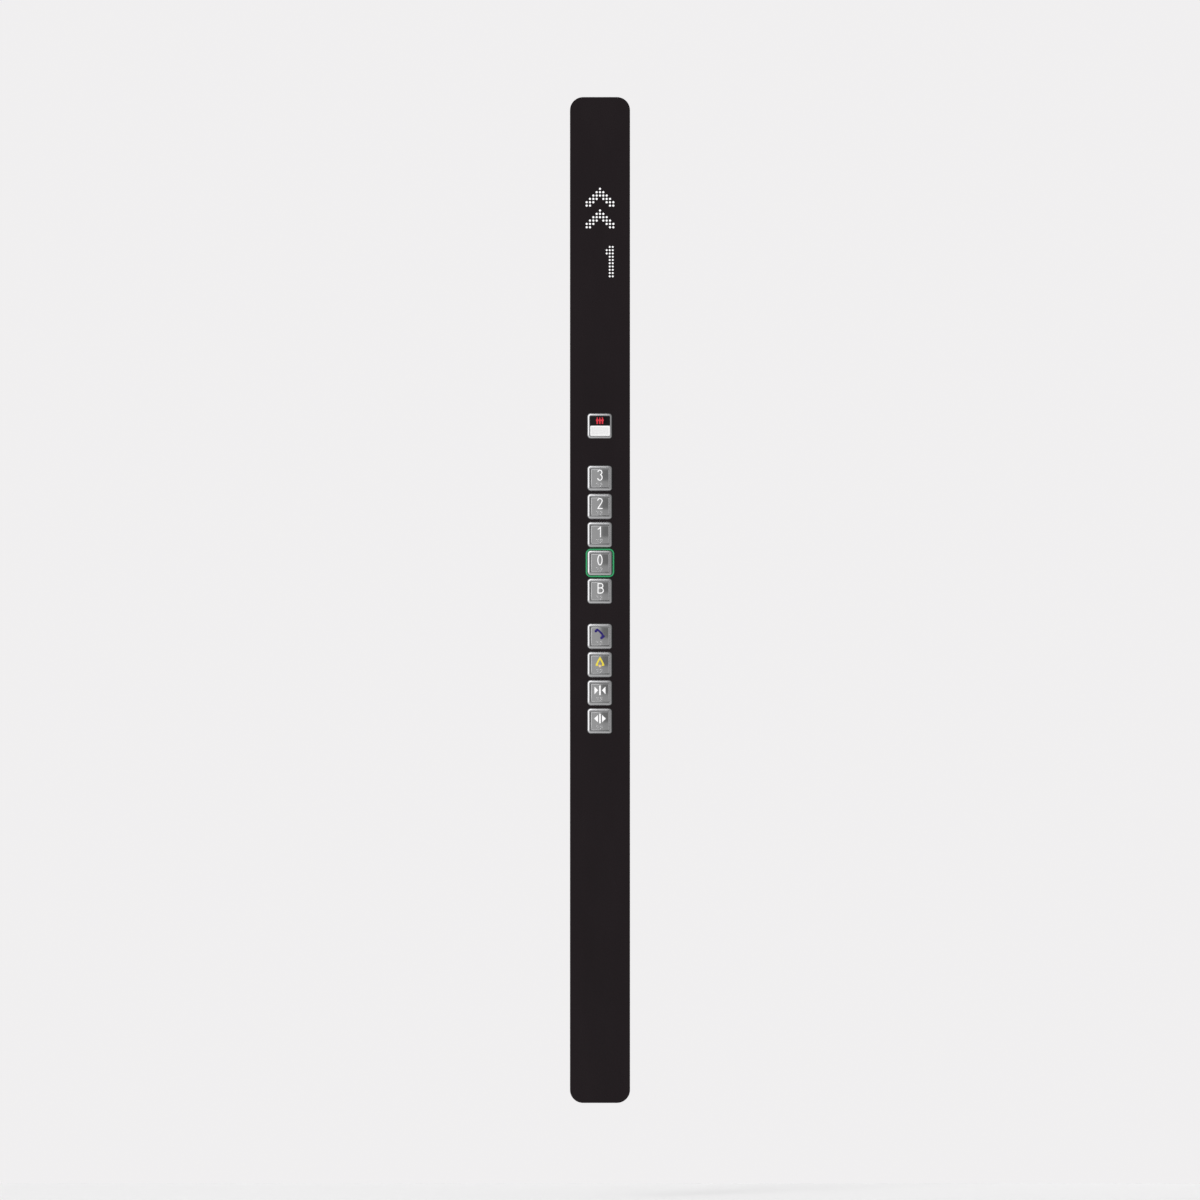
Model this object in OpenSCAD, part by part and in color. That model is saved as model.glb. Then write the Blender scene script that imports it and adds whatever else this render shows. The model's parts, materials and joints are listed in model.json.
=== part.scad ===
// Elevator car operating panel: a slim surface panel with a hinged front, nine push buttons,
// a direction and floor display and an indicator, on a steel tray that is screwed to the car wall.
// Most modules draw lying down, with the wall at z = 0 and the front facing up,
// and from_wall() stands them up. The panel then faces -Y, +X is to the right and +Z is up.

/* [Faceplate] */
// Width of the faceplate
face_w = 85; // [78:1:110]
// Height of the faceplate
face_h = 1425; // [1400:1:1600]
// Thickness of the faceplate
face_t = 4; // [3:0.5:6]
// Corner radius of the faceplate
face_r = 18.5; // [14:0.5:24]
// Polished bevel round the front edge
face_bevel = 0.8; // [0.4:0.1:1.5]
// Thickness left in front of the displays
face_skin = 1.5; // [1:0.1:2.5]

/* [Tray and carrier] */
// Depth of the wall tray
tray_depth = 25.8; // [25:0.1:40]
// Sheet thickness of the wall tray
tray_t = 1.5; // [1:0.1:2.5]
// Width of the foot of the tray's sides on the back plate
tray_foot = 5; // [4:0.5:5.5]
// How far the faceplate stands out over the tray all round
face_overhang = 4; // [3.9:0.1:6]
// Sheet thickness of the carrier
carrier_t = 1.5; // [1:0.1:2.5]
// Distance from the edge of the faceplate to the carrier
carrier_inset = 7.5; // [7:0.1:10]
// Depth of the flanges behind the carrier
flange_d = 11; // [6:0.5:12]
// Depth of the bottom flange, which holds the lock and the speaker
sill_d = 20; // [18:0.5:20.5]
// Gap between the swinging front and the tray
swing_gap = 0.5; // [0.3:0.1:1.5]

/* [Wall fixing] */
// Distance between the wall screws across
fix_w = 50; // [40:1:54]
// Distance from the ends of the tray to the outer wall screws
fix_end = 58.5; // [54:0.5:75]
// Diameter of the wall screw holes
fix_d = 5.5; // [4.5:0.1:6.5]
// Distance from the bottom of the tray to the cable entry
entry_end = 78.5; // [74:0.5:100]
// Bore of the cable grommet
entry_d = 20; // [14:0.5:24]
// Wall of the cable grommet
grommet_wall = 4; // [2.5:0.5:5]

/* [Hinges] */
// Distance from the ends of the tray to the middle of the outer hinges
hinge_end = 68.5; // [60:0.5:100]
// Length of one hinge
hinge_len = 50; // [36:1:80]
// Radius of the hinge knuckles
knuckle_r = 1.8; // [1.5:0.1:1.8]
// Radius of the hinge pin
hinge_pin_r = 1; // [0.8:0.05:1.1]
// Thickness of the hinge leaves
leaf_t = 1.2; // [0.8:0.1:1.5]
// Depth of the leaf on the tray
tray_leaf_d = 16; // [10:0.5:22]
// Length of the leaf behind the carrier
front_leaf_l = 20; // [14:0.5:22]

/* [Lock] */
// Sideways place of the lock
lock_x = 18.5; // [17:0.1:19]
// Radius of the lock barrel
lock_r = 5; // [4.5:0.1:5.5]
// Radius of the lock plug
plug_r = 3; // [2.5:0.1:3.4]
// Length of the lock barrel
lock_len = 12; // [10:0.5:18]
// Reach of the cam from the lock's axis to its tip
cam_reach = 16; // [14.5:0.5:16.5]
// Width of the cam
cam_w = 5; // [4:0.5:6]
// Thickness of the cam
cam_t = 2; // [1.5:0.1:3]
// Width across the square key recess
key_w = 3.2; // [2.5:0.1:3.6]

/* [Buttons] */
// Height of the top button from the middle of the panel
top_button_z = 172.5; // [168:0.5:175]
// Distance from the lowest floor button to the button below it
group_step = 64; // [56:0.5:72]
// Distance from button to button
button_pitch = 40; // [38:0.5:41]
// Width of a bezel
bezel_w = 36; // [34.5:0.1:36.5]
// Corner radius of a bezel
bezel_r = 5; // [4.9:0.1:7]
// Width of the bezel's rim
rim_w = 4.7; // [4.2:0.1:4.8]
// Share of a rim's width that is flat on top
rim_flat = 0.36; // [0.2:0.02:0.44]
// Height of the rim's flat above the faceplate
rim_crest = 2.3; // [1.6:0.1:2.6]
// Height of the rim's outer edge above the faceplate
rim_side = 0.8; // [0.4:0.1:1.2]
// Width of the bezel's sleeve through the faceplate
sleeve_w = 31.6; // [30.6:0.1:32]
// Thickness of a cap
cap_t = 1.2; // [0.8:0.1:1.6]
// Height of a cap above the faceplate
cap_rise = 1.2; // [0.8:0.1:2]
// Visible gap round a cap
cap_gap = 0.5; // [0.4:0.05:0.8]
// Travel of a button
travel = 1.5; // [0.8:0.1:2.5]
// Running gap round a plunger
plunger_gap = 0.3; // [0.2:0.05:0.4]
// Wall thickness of a plunger
plunger_t = 1.5; // [1:0.1:2]
// Length of a plunger
plunger_len = 10.5; // [9:0.5:12]
// Radius of a plunger's stem
stem_r = 3; // [2:0.1:3.5]
// Depth of a button housing
housing_d = 12.5; // [12:0.1:14]
// Wall thickness of a button housing
housing_t = 1.4; // [1:0.1:1.4]
// Radius of the middle of a spring's wire
spring_r = 6; // [5.5:0.1:8]
// Radius of the spring wire
wire_r = 0.4; // [0.3:0.05:0.5]
// Turns of a spring
spring_turns = 5; // [4:1:6]

/* [Exit floor collar] */
// Outer width of the collar
collar_w = 40.2; // [39.5:0.1:41]
// Height of the collar above the faceplate
collar_h = 1.3; // [0.8:0.1:2]
// Gap between the collar and the bezel inside it
collar_gap = 0.2; // [0.1:0.05:0.4]

/* [Indicator] */
// Distance from the top button to the indicator
indicator_step = 74; // [62:0.5:82]
// Width of the indicator's rim
indicator_rim = 3.7; // [3.4:0.1:4]
// Height of the dark window in the upper half
window_h = 13.5; // [12:0.1:15]
// Height of the window and the lens above the faceplate
window_rise = 1; // [0.5:0.1:1.5]
// Thickness of the window and the lens
window_t = 3; // [2:0.1:4]

/* [Displays] */
// Distance from the top of the faceplate to the upper arrow's tip
arrow_top = 130; // [118:0.5:145]
// Distance between the two arrows
arrow_step = 30.7; // [29:0.1:33]
// Distance between dots of the arrows across
arrow_px = 4.72; // [4.4:0.01:4.9]
// Distance between dots of the arrows in height
arrow_pz = 4.75; // [4.4:0.01:4.9]
// Diameter of a dot of the arrows
arrow_dot = 3.2; // [2.6:0.1:4.2]
// Distance from the top of the faceplate to the floor number's top row
digit_top = 212.3; // [206:0.1:225]
// Distance between dots of the floor number across
digit_px = 4.27; // [4:0.01:4.4]
// Distance between dots of the floor number in height
digit_pz = 4.63; // [4.4:0.01:4.8]
// Diameter of a dot of the floor number
digit_dot = 2.9; // [2.4:0.1:3.9]
// Distance from the middle to the middle of each digit
digit_x = 13.76; // [13:0.01:14.5]
// Thickness of the dot matrix blocks
led_block_t = 6; // [5:0.5:8]
// Margin of a dot matrix block round its dots
led_margin = 3.5; // [2.6:0.1:4]

/* [Electronics] */
// Thickness of the circuit boards
board_t = 1.6; // [1:0.1:2]
// Width of the boards behind the buttons
button_board_w = 36; // [35:0.5:40]
// Width of the controller board
controller_w = 56; // [50:1:60]
// Height of the controller board
controller_h = 230; // [200:1:260]
// Distance from the bottom of the faceplate to the controller board's middle
controller_end = 327.5; // [312:0.5:345]
// Length of the controller board's spacers
spacer_len = 11.5; // [10:0.5:13]
// Width of the speaker
speaker_w = 32; // [24:1:34]
// Depth of the speaker
speaker_d = 16; // [12:0.5:17]
// Height of the speaker
speaker_h = 9; // [6:0.5:12]
// Radius of the microphone capsule
mic_r = 4.85; // [3:0.05:5]

/* [Hidden] */
LABELS = ["3", "2", "1", "0", "b", "call", "alarm", "close", "open"];
$fn = 48;
eps = 0.01;
seat = 0.3;
slip = 0.05;

tray_w = face_w - 2 * face_overhang;
tray_h = face_h - 2 * face_overhang;
tray_r = face_r - face_overhang;
carrier_w = face_w - 2 * carrier_inset;
carrier_h = face_h - 2 * carrier_inset;
carrier_r = face_r - carrier_inset;
carrier_back = tray_depth + swing_gap + leaf_t;
face_back = carrier_back + carrier_t;
face_front = face_back + face_t;
flange_back = carrier_back - flange_d;
corner_relief = carrier_r + 3;

fix_h = tray_h - 2 * fix_end;
entry_z = entry_end - tray_h / 2;
controller_z = controller_end - face_h / 2;

hinge_z = tray_h / 2 - hinge_end;
hinge_zs = [hinge_z, 0, -hinge_z];
hinge_x = -(tray_w / 2 + knuckle_r);
hinge_y = -(carrier_back - leaf_t / 2);
knuckle_len = hinge_len / 3;

lock_y = -20;
sill_z = -carrier_h / 2;
barrel_top = sill_z + lock_len;
cam_z = barrel_top + seat;
keeper_t = 1.2;
keeper_h = 13;
keeper_reach = 6;
keeper_face = lock_y - cam_w / 2 - seat;
keeper_z = tray_r - tray_h / 2;
grommet_seat_d = entry_d + 2 * grommet_wall;

opening_w = bezel_w - 2 * rim_w;
indicator_opening = bezel_w - 2 * indicator_rim;
sleeve_gap = 0.2;
hole_w = sleeve_w + 2 * sleeve_gap;
hole_r = 2.5;
sleeve_back = carrier_back - 1;
cap_w = opening_w - 2 * cap_gap;
cap_front = face_front + cap_rise;
cap_back = cap_front - cap_t;
plunger_w = opening_w - 2 * plunger_gap;
housing_w = sleeve_w + 2 * (seat + housing_t);
housing_back = carrier_back - housing_d;
housing_floor = housing_back + housing_t;
switch_w = 6;
switch_h = 3.5;
switch_tip_h = 1.5;
switch_top = housing_back + switch_h + switch_tip_h;
stem_end = switch_top + travel + 0.1;
hook_t = 1.6;
hook_out = 1.2;

pane_gap = 0.2;
pane_w = indicator_opening - 2 * pane_gap;
pane_r = bezel_r - indicator_rim;
lens_h = indicator_opening - window_h - 3 * pane_gap;
pane_front = face_front + window_rise;

indicator_z = top_button_z + indicator_step;
floor_zs = [for (i = [0:4]) top_button_z - i * button_pitch];
car_zs = [for (i = [0:3]) floor_zs[4] - group_step - i * button_pitch];
button_zs = concat(floor_zs, car_zs);
collar_z = button_zs[3];

ARROW_ROWS = [
    [0],
    [-1, 0, 1],
    [-2, -1, 0, 1, 2],
    [-3, -2, -1, 1, 2, 3],
    [-4, -3, -2, 2, 3, 4],
    [-4, -3, 3, 4]
];
arrow_rows = len(ARROW_ROWS);
arrow_z = face_h / 2 - arrow_top;
arrow_bottom = arrow_z - arrow_step - (arrow_rows - 1) * arrow_pz;
arrow_mid = (arrow_z + arrow_bottom) / 2;
arrow_block = [
    8 * arrow_px + 2 * led_margin + arrow_dot,
    arrow_z - arrow_bottom + 2 * led_margin + arrow_dot
];
digit_rows = 10;
digit_z = face_h / 2 - digit_top;
digit_bottom = digit_z - (digit_rows - 1) * digit_pz;
digit_mid = (digit_z + digit_bottom) / 2;
digit_block = [
    2 * digit_x + 4 * digit_px + 2 * led_margin + digit_dot,
    digit_z - digit_bottom + 2 * led_margin + digit_dot
];
block_gap = 0.5;
led_h = 0.3;
led_gap = 0.2;
led_front = face_front - face_skin - led_gap;
block_front = led_front - led_h;
block_back = block_front - led_block_t;

connector_w = 16;
connector_h = 7;
connector_d = 6;
speaker_x = -7;
speaker_y = -14.5;
mic_y = -21;
mic_z = (car_zs[1] + car_zs[2]) / 2;
controller_back = carrier_back - spacer_len - board_t;
button_board_front = housing_back;
floor_board_z = (indicator_z + floor_zs[4]) / 2;
floor_board_h = indicator_z - floor_zs[4] + housing_w + 4;
car_board_z = (car_zs[0] + car_zs[3]) / 2;
car_board_h = car_zs[0] - car_zs[3] + housing_w + 4;

// Stands a form that is drawn lying on the wall up against it
module from_wall() {
    rotate([90, 0, 0]) children();
}

// A flat form between two distances from the wall
module layer(low, high) {
    from_wall() translate([0, 0, low]) linear_extrude(high - low) children();
}

module rounded(w, h, r) {
    square([w - 2 * r, h], center = true);
    square([w, h - 2 * r], center = true);
    for (x = [-1, 1])
        for (y = [-1, 1])
            translate([x * (w / 2 - r), y * (h / 2 - r)]) circle(r);
}

// Section of a rim with its inner side on the left: flat on top, then rounded down to its outer side
module rim_profile(w, crest, side) {
    flat = rim_flat * w;
    run = w - flat;
    rise = crest - side;
    round_r = (run * run + rise * rise) / (2 * rise);
    square([flat, crest]);
    intersection() {
        translate([flat, crest - round_r]) circle(round_r);
        translate([flat, 0]) square([run, 2 * crest]);
    }
}

// Square frame with rounded corners, standing on z = 0
module rim_frame(outer, w, r, crest, side) {
    run = outer - 2 * r;
    for (a = [0:90:270])
        rotate([0, 0, a]) {
            translate([outer / 2 - w, run / 2, 0]) rotate([90, 0, 0])
                linear_extrude(run) rim_profile(w, crest, side);
            translate([run / 2, run / 2, 0])
                rotate_extrude(angle = 90) translate([r - w, 0]) rim_profile(w, crest, side);
        }
}

// One side of the plate's outline with its bevel, seen along the edge
module bevelled_profile(width) {
    polygon([
        [-width / 2, face_back],
        [width / 2, face_back],
        [width / 2, face_front - face_bevel],
        [width / 2 - face_bevel, face_front],
        [-width / 2 + face_bevel, face_front],
        [-width / 2, face_front - face_bevel]
    ]);
}

module face_blank() {
    straight_w = face_w - 2 * face_r;
    straight_h = face_h - 2 * face_r;
    translate([0, straight_h / 2, 0]) rotate([90, 0, 0])
        linear_extrude(straight_h) bevelled_profile(face_w);
    translate([-straight_w / 2, 0, 0]) rotate([90, 0, 90])
        linear_extrude(straight_w) bevelled_profile(face_h);
    for (x = [-1, 1])
        for (y = [-1, 1])
            translate([x * straight_w / 2, y * straight_h / 2, face_back]) {
                cylinder(r = face_r, h = face_t - face_bevel);
                translate([0, 0, face_t - face_bevel])
                    cylinder(r1 = face_r, r2 = face_r - face_bevel, h = face_bevel);
            }
}

module module_holes() {
    for (z = concat(button_zs, [indicator_z]))
        translate([0, z]) rounded(hole_w, hole_w, hole_r);
}

module display_windows(gap) {
    translate([0, arrow_mid]) rounded(arrow_block.x + 2 * gap, arrow_block.y + 2 * gap, gap);
    translate([0, digit_mid]) rounded(digit_block.x + 2 * gap, digit_block.y + 2 * gap, gap);
}

module faceplate() {
    color([0.14, 0.13, 0.135]) difference() {
        from_wall() face_blank();
        layer(face_back - 1, face_front + 1) module_holes();
        layer(face_back - 1, face_front - face_skin) display_windows(block_gap);
    }
}

module fixing_holes() {
    for (x = [-1, 1])
        for (z = [-1, 0, 1])
            translate([x * fix_w / 2, z * fix_h / 2]) circle(d = fix_d);
}

module tray_back() {
    color([0.72, 0.73, 0.74]) layer(0, tray_t) difference() {
        rounded(tray_w, tray_h, tray_r);
        fixing_holes();
        translate([0, entry_z]) circle(d = grommet_seat_d);
    }
}

// L-section strips that stand on the back plate along its sides
module tray_sides() {
    run = tray_h - 2 * tray_r;
    color([0.72, 0.73, 0.74])
        for (x = [-1, 1]) {
            layer(tray_t, tray_depth)
                translate([x * (tray_w - tray_t) / 2, 0]) square([tray_t, run], center = true);
            layer(tray_t, 2 * tray_t)
                translate([x * (tray_w - tray_foot) / 2, 0]) square([tray_foot, run], center = true);
        }
}

// What lies within an inset of the tray's outline at its two ends
module end_strips(inset) {
    difference() {
        rounded(tray_w, tray_h, tray_r);
        rounded(tray_w - 2 * inset, tray_h - 2 * inset, tray_r - inset);
        square([tray_w + 2, tray_h - 2 * tray_r], center = true);
    }
}

// The same section bent round the ends, with the key access and the slots for the speaker
module tray_ends() {
    slot_pitch = 4;
    slot_w = 1.5;
    slot_l = 10;
    color([0.72, 0.73, 0.74]) difference() {
        union() {
            layer(tray_t, tray_depth) end_strips(tray_t);
            layer(tray_t, 2 * tray_t) end_strips(tray_foot);
        }
        translate([lock_x, lock_y, -tray_h / 2 - 1]) cylinder(r = plug_r + 1.5, h = tray_t + 2);
        for (i = [-3:3])
            translate([speaker_x + i * slot_pitch, speaker_y, -tray_h / 2])
                cube([slot_w, slot_l, 2 * tray_t + 2], center = true);
    }
}

module cable_grommet() {
    flange_t = 3;
    color([0.1, 0.1, 0.1]) from_wall() rotate_extrude()
        difference() {
            union() {
                square([grommet_seat_d / 2, tray_t + flange_t]);
                translate([0, tray_t]) square([grommet_seat_d / 2 + 3, flange_t]);
            }
            square([entry_d, 20], center = true);
        }
}

module earth_stud() {
    stud_x = grommet_seat_d / 2 + 10;
    color([0.8, 0.68, 0.3]) translate([stud_x, 0, entry_z]) from_wall() {
        translate([0, 0, tray_t]) cylinder(r = 2.5, h = 14);
        translate([0, 0, tray_t]) difference() {
            cylinder(r = 5, h = 1);
            cylinder(r = 2.5 + slip, h = 3, center = true);
        }
        translate([0, 0, tray_t + 1]) difference() {
            cylinder(r = 4.6, h = 4, $fn = 6);
            cylinder(r = 2.5 + slip, h = 12, center = true);
        }
    }
}

module at_hinges() {
    for (z = hinge_zs)
        translate([hinge_x, hinge_y, z - hinge_len / 2]) children();
}

module hinge_tray_leaves() {
    color([0.6, 0.61, 0.62]) at_hinges()
        for (z = [0, 2 * knuckle_len + seat])
            difference() {
                union() {
                    translate([0, 0, z]) cylinder(r = knuckle_r, h = knuckle_len - seat);
                    translate([knuckle_r - leaf_t, 0, z]) cube([leaf_t, tray_leaf_d, knuckle_len - seat]);
                }
                translate([0, 0, -1]) cylinder(r = hinge_pin_r + slip, h = hinge_len + 2);
            }
}

module hinge_front_leaves() {
    color([0.6, 0.61, 0.62]) at_hinges()
        translate([0, 0, knuckle_len]) difference() {
            union() {
                cylinder(r = knuckle_r, h = knuckle_len);
                translate([0, -leaf_t / 2, 0]) cube([front_leaf_l, leaf_t, knuckle_len]);
            }
            translate([0, 0, -1]) cylinder(r = hinge_pin_r + slip, h = knuckle_len + 2);
        }
}

module hinge_pins() {
    color([0.75, 0.75, 0.76]) at_hinges() {
        translate([0, 0, -0.8]) cylinder(r = hinge_pin_r, h = hinge_len + 0.8);
        translate([0, 0, -0.8]) cylinder(r = knuckle_r - 0.2, h = 0.8);
    }
}

module carrier_plate() {
    color([0.66, 0.67, 0.68]) layer(carrier_back, face_back) difference() {
        rounded(carrier_w, carrier_h, carrier_r);
        module_holes();
        display_windows(block_gap);
    }
}

// Strips on edge behind the carrier plate; the bottom one holds the lock and the speaker
module carrier_flanges() {
    side_run = carrier_h - 2 * corner_relief;
    end_run = carrier_w - 2 * corner_relief;
    keeper_gap = 2;
    color([0.66, 0.67, 0.68]) difference() {
        union() {
            for (x = [-1, 1])
                translate([x * (carrier_w - carrier_t) / 2, -(flange_back + carrier_back) / 2, 0])
                    cube([carrier_t, flange_d, side_run], center = true);
            translate([-end_run / 2, -carrier_back, carrier_h / 2 - carrier_t])
                cube([end_run, flange_d, carrier_t]);
            translate([-end_run / 2, -carrier_back, sill_z])
                cube([end_run, sill_d, carrier_t]);
        }
        for (z = hinge_zs)
            translate([-carrier_w / 2 - 1, -carrier_back - 1, z - knuckle_len / 2 - seat])
                cube([carrier_t + 2, leaf_t + seat + 1, knuckle_len + 2 * seat]);
        translate([carrier_w / 2 - carrier_t - 1, -carrier_back - 1, keeper_z - keeper_gap])
            cube([carrier_t + 2, flange_d + 2, keeper_h + 2 * keeper_gap]);
        translate([lock_x, lock_y, sill_z - 1]) cylinder(r = lock_r + slip, h = carrier_t + 2);
        translate([speaker_x, speaker_y, sill_z - 1]) cylinder(r = 6, h = carrier_t + 2);
        translate([carrier_w / 2 - 5, mic_y, mic_z]) rotate([0, 90, 0]) cylinder(r = 1.5, h = 10);
    }
}

module lock_barrel() {
    head_t = 1;
    nut_t = 2.5;
    color([0.75, 0.75, 0.77]) translate([lock_x, lock_y, sill_z]) difference() {
        union() {
            cylinder(r = lock_r, h = lock_len);
            translate([0, 0, -head_t]) cylinder(r = lock_r + 1, h = head_t);
            translate([0, 0, carrier_t]) cylinder(r = lock_r + 1.6, h = nut_t, $fn = 6);
        }
        translate([0, 0, -3]) cylinder(r = plug_r + slip, h = lock_len + 6);
    }
}

module lock_cam() {
    key_depth = 5;
    color([0.62, 0.62, 0.64]) translate([lock_x, lock_y, sill_z - 1]) difference() {
        union() {
            cylinder(r = plug_r, h = lock_len + 1 + seat + cam_t + 1);
            translate([0, 0, cam_z - sill_z + 1]) {
                cylinder(r = lock_r, h = cam_t);
                translate([-cam_w / 2, 0, 0]) cube([cam_w, cam_reach - cam_w / 2, cam_t]);
                translate([0, cam_reach - cam_w / 2, 0]) cylinder(r = cam_w / 2, h = cam_t);
            }
        }
        translate([-key_w / 2, -key_w / 2, -1]) cube([key_w, key_w, key_depth + 1]);
    }
}

module lock_keeper() {
    inner_x = tray_w / 2 - tray_t;
    leg_d = 12;
    color([0.7, 0.7, 0.72]) translate([0, 0, keeper_z]) {
        translate([inner_x - keeper_reach, keeper_face - keeper_t, 0])
            cube([keeper_reach, keeper_t, keeper_h]);
        translate([inner_x - keeper_t, keeper_face - keeper_t, 0])
            cube([keeper_t, leg_d, keeper_h]);
    }
}

// Rim, and the sleeve that goes through the faceplate and the carrier
module bezel(rim) {
    inner = bezel_w - 2 * rim;
    translate([0, 0, face_front]) rim_frame(bezel_w, rim, bezel_r, rim_crest, rim_side);
    translate([0, 0, sleeve_back]) linear_extrude(face_front - sleeve_back + rim_side / 2)
        difference() {
            rounded(sleeve_w, sleeve_w, hole_r - sleeve_gap);
            square(inner, center = true);
        }
}

module at_buttons() {
    for (z = button_zs)
        translate([0, 0, z]) from_wall() children();
}

module button_bezels() {
    color([0.82, 0.82, 0.83]) at_buttons() bezel(rim_w);
}

module exit_floor_collar() {
    width = (collar_w - bezel_w) / 2 - collar_gap;
    color([0.17, 0.62, 0.4]) translate([0, 0, collar_z]) from_wall()
        translate([0, 0, face_front])
            rim_frame(collar_w, width, bezel_r + collar_gap + width, collar_h, collar_h / 2);
}

module housing_shell() {
    inner = housing_w - 2 * housing_t;
    difference() {
        linear_extrude(housing_d) rounded(housing_w, housing_w, 2);
        translate([0, 0, housing_t]) linear_extrude(housing_d) rounded(inner, inner, 1);
    }
}

module button_housings() {
    boss_r = spring_r - wire_r - 0.5;
    boss_h = 1.5;
    window = switch_w + 0.4;
    color([0.12, 0.12, 0.13]) at_buttons() translate([0, 0, housing_back]) difference() {
        union() {
            housing_shell();
            cylinder(r = boss_r, h = housing_t + boss_h);
        }
        cube([window, window, 20], center = true);
    }
}

module push_switches() {
    color([0.25, 0.25, 0.27]) at_buttons() translate([0, 0, housing_back]) {
        translate([-switch_w / 2, -switch_w / 2, 0]) cube([switch_w, switch_w, switch_h]);
        cylinder(r = 1.75, h = switch_h + switch_tip_h, $fn = 24);
    }
}

module cap(z) {
    edge = 0.4;
    color([0.6, 0.6, 0.61]) translate([0, 0, z]) from_wall() {
        translate([0, 0, cap_back]) linear_extrude(cap_t - edge) rounded(cap_w, cap_w, 1);
        translate([0, 0, cap_front - edge - eps]) linear_extrude(edge + eps)
            rounded(cap_w - edge, cap_w - edge, 1);
    }
}

module plunger(z) {
    inner = plunger_w - 2 * plunger_t;
    back = cap_back - plunger_len;
    hook_top = sleeve_back - seat;
    color([0.9, 0.9, 0.88]) translate([0, 0, z]) from_wall() {
        difference() {
            translate([0, 0, back]) linear_extrude(plunger_len) square(plunger_w, center = true);
            translate([0, 0, back - 1]) linear_extrude(plunger_len + 1 - plunger_t)
                square(inner, center = true);
        }
        translate([0, 0, stem_end]) cylinder(r = stem_r, h = cap_back - plunger_t / 2 - stem_end);
        for (side = [-1, 1])
            translate([side * (plunger_w / 2 + hook_out / 2 - eps / 2), 0, hook_top - hook_t / 2])
                cube([hook_out + eps, 6, hook_t], center = true);
    }
}

// Height of a spring's wire after so many turns, with a closed turn at each end
function wire_z(turn, length) =
    let (first = wire_r + slip, last = length - wire_r - slip, flat = 2 * wire_r)
    turn < 1 ? first + flat * turn
    : turn > spring_turns - 1 ? last - flat * (spring_turns - turn)
    : first + flat + (last - first - 2 * flat) * (turn - 1) / (spring_turns - 2);

module return_spring(z) {
    steps = 12;
    sides = 6;
    length = cap_back - plunger_t - housing_floor;
    rings = spring_turns * steps;
    points = [
        for (i = [0:rings])
            for (j = [0:sides - 1])
                let (turn = i / steps, a = 360 * turn, b = 360 * j / sides, r = spring_r + wire_r * cos(b))
                [r * cos(a), r * sin(a), wire_z(turn, length) + wire_r * sin(b)]
    ];
    walls = [
        for (i = [0:rings - 1])
            for (j = [0:sides - 1])
                let (k = (j + 1) % sides)
                [i * sides + j, (i + 1) * sides + j, (i + 1) * sides + k, i * sides + k]
    ];
    first = [for (j = [0:sides - 1]) j];
    last = [for (j = [sides - 1:-1:0]) rings * sides + j];
    color([0.7, 0.7, 0.72]) translate([0, 0, z]) from_wall() translate([0, 0, housing_floor])
        polyhedron(points, concat(walls, [first], [last]));
}

module indicator_bezel() {
    color([0.82, 0.82, 0.83]) translate([0, 0, indicator_z]) from_wall() bezel(indicator_rim);
}

module indicator_window() {
    color([0.07, 0.06, 0.07]) translate([0, 0, indicator_z + indicator_opening / 2 - pane_gap - window_h / 2])
        layer(pane_front - window_t, pane_front) rounded(pane_w, window_h, pane_r);
}

module indicator_lens() {
    color([0.9, 0.9, 0.9]) translate([0, 0, indicator_z - indicator_opening / 2 + pane_gap + lens_h / 2])
        layer(pane_front - window_t, pane_front) rounded(pane_w, lens_h, pane_r);
}

module indicator_housing() {
    shelf_h = pane_front - window_t - housing_back;
    shelf_t = 1.2;
    half = indicator_opening / 2;
    color([0.12, 0.12, 0.13]) translate([0, 0, indicator_z]) from_wall() translate([0, 0, housing_back]) {
        housing_shell();
        for (y = [1 - half, half - window_h - pane_gap * 1.5, half - 1])
            translate([0.5 - half, y - shelf_t / 2, housing_t - eps])
                cube([indicator_opening - 1, shelf_t, shelf_h - housing_t + eps]);
    }
}

module led_matrix_blocks() {
    color([0.16, 0.16, 0.17]) layer(block_back, block_front) {
        translate([0, arrow_mid]) square(arrow_block, center = true);
        translate([0, digit_mid]) square(digit_block, center = true);
    }
}

// Columns of the figure 1 that are lit in a row, counted from the digit's middle column
function one_columns(row) = row == 0 ? [0, 1] : row < 3 ? [-1, 0, 1] : [0, 1];

module display_leds() {
    color([1, 1, 1]) layer(block_front, led_front) {
        for (arrow = [0, 1])
            for (row = [0:arrow_rows - 1])
                for (column = ARROW_ROWS[row])
                    translate([column * arrow_px, arrow_z - arrow * arrow_step - row * arrow_pz])
                        circle(d = arrow_dot, $fn = 24);
        for (row = [0:digit_rows - 1])
            for (column = one_columns(row))
                translate([digit_x + column * digit_px, digit_z - row * digit_pz])
                    circle(d = digit_dot, $fn = 24);
    }
}

module board(w, h, z, front) {
    color([0.05, 0.3, 0.16]) translate([0, 0, z])
        layer(front - board_t, front) square([w, h], center = true);
}

// The boards behind the displays and the buttons
module front_boards() {
    board(arrow_block.x + 8, arrow_block.y + 8, arrow_mid, block_back);
    board(digit_block.x + 6, digit_block.y + 8, digit_mid, block_back);
    board(button_board_w, floor_board_h, floor_board_z, button_board_front);
    board(button_board_w, car_board_h, car_board_z, button_board_front);
}

module controller_board() {
    board(controller_w, controller_h, controller_z, controller_back + board_t);
}

module on_controller(x, z) {
    translate([x, -controller_back, controller_z + z]) children();
}

// A part that stands on the back of the controller board, towards the wall
module block_part(w, h, d) {
    translate([-w / 2, 0, -h / 2]) cube([w, d, h]);
}

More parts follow.
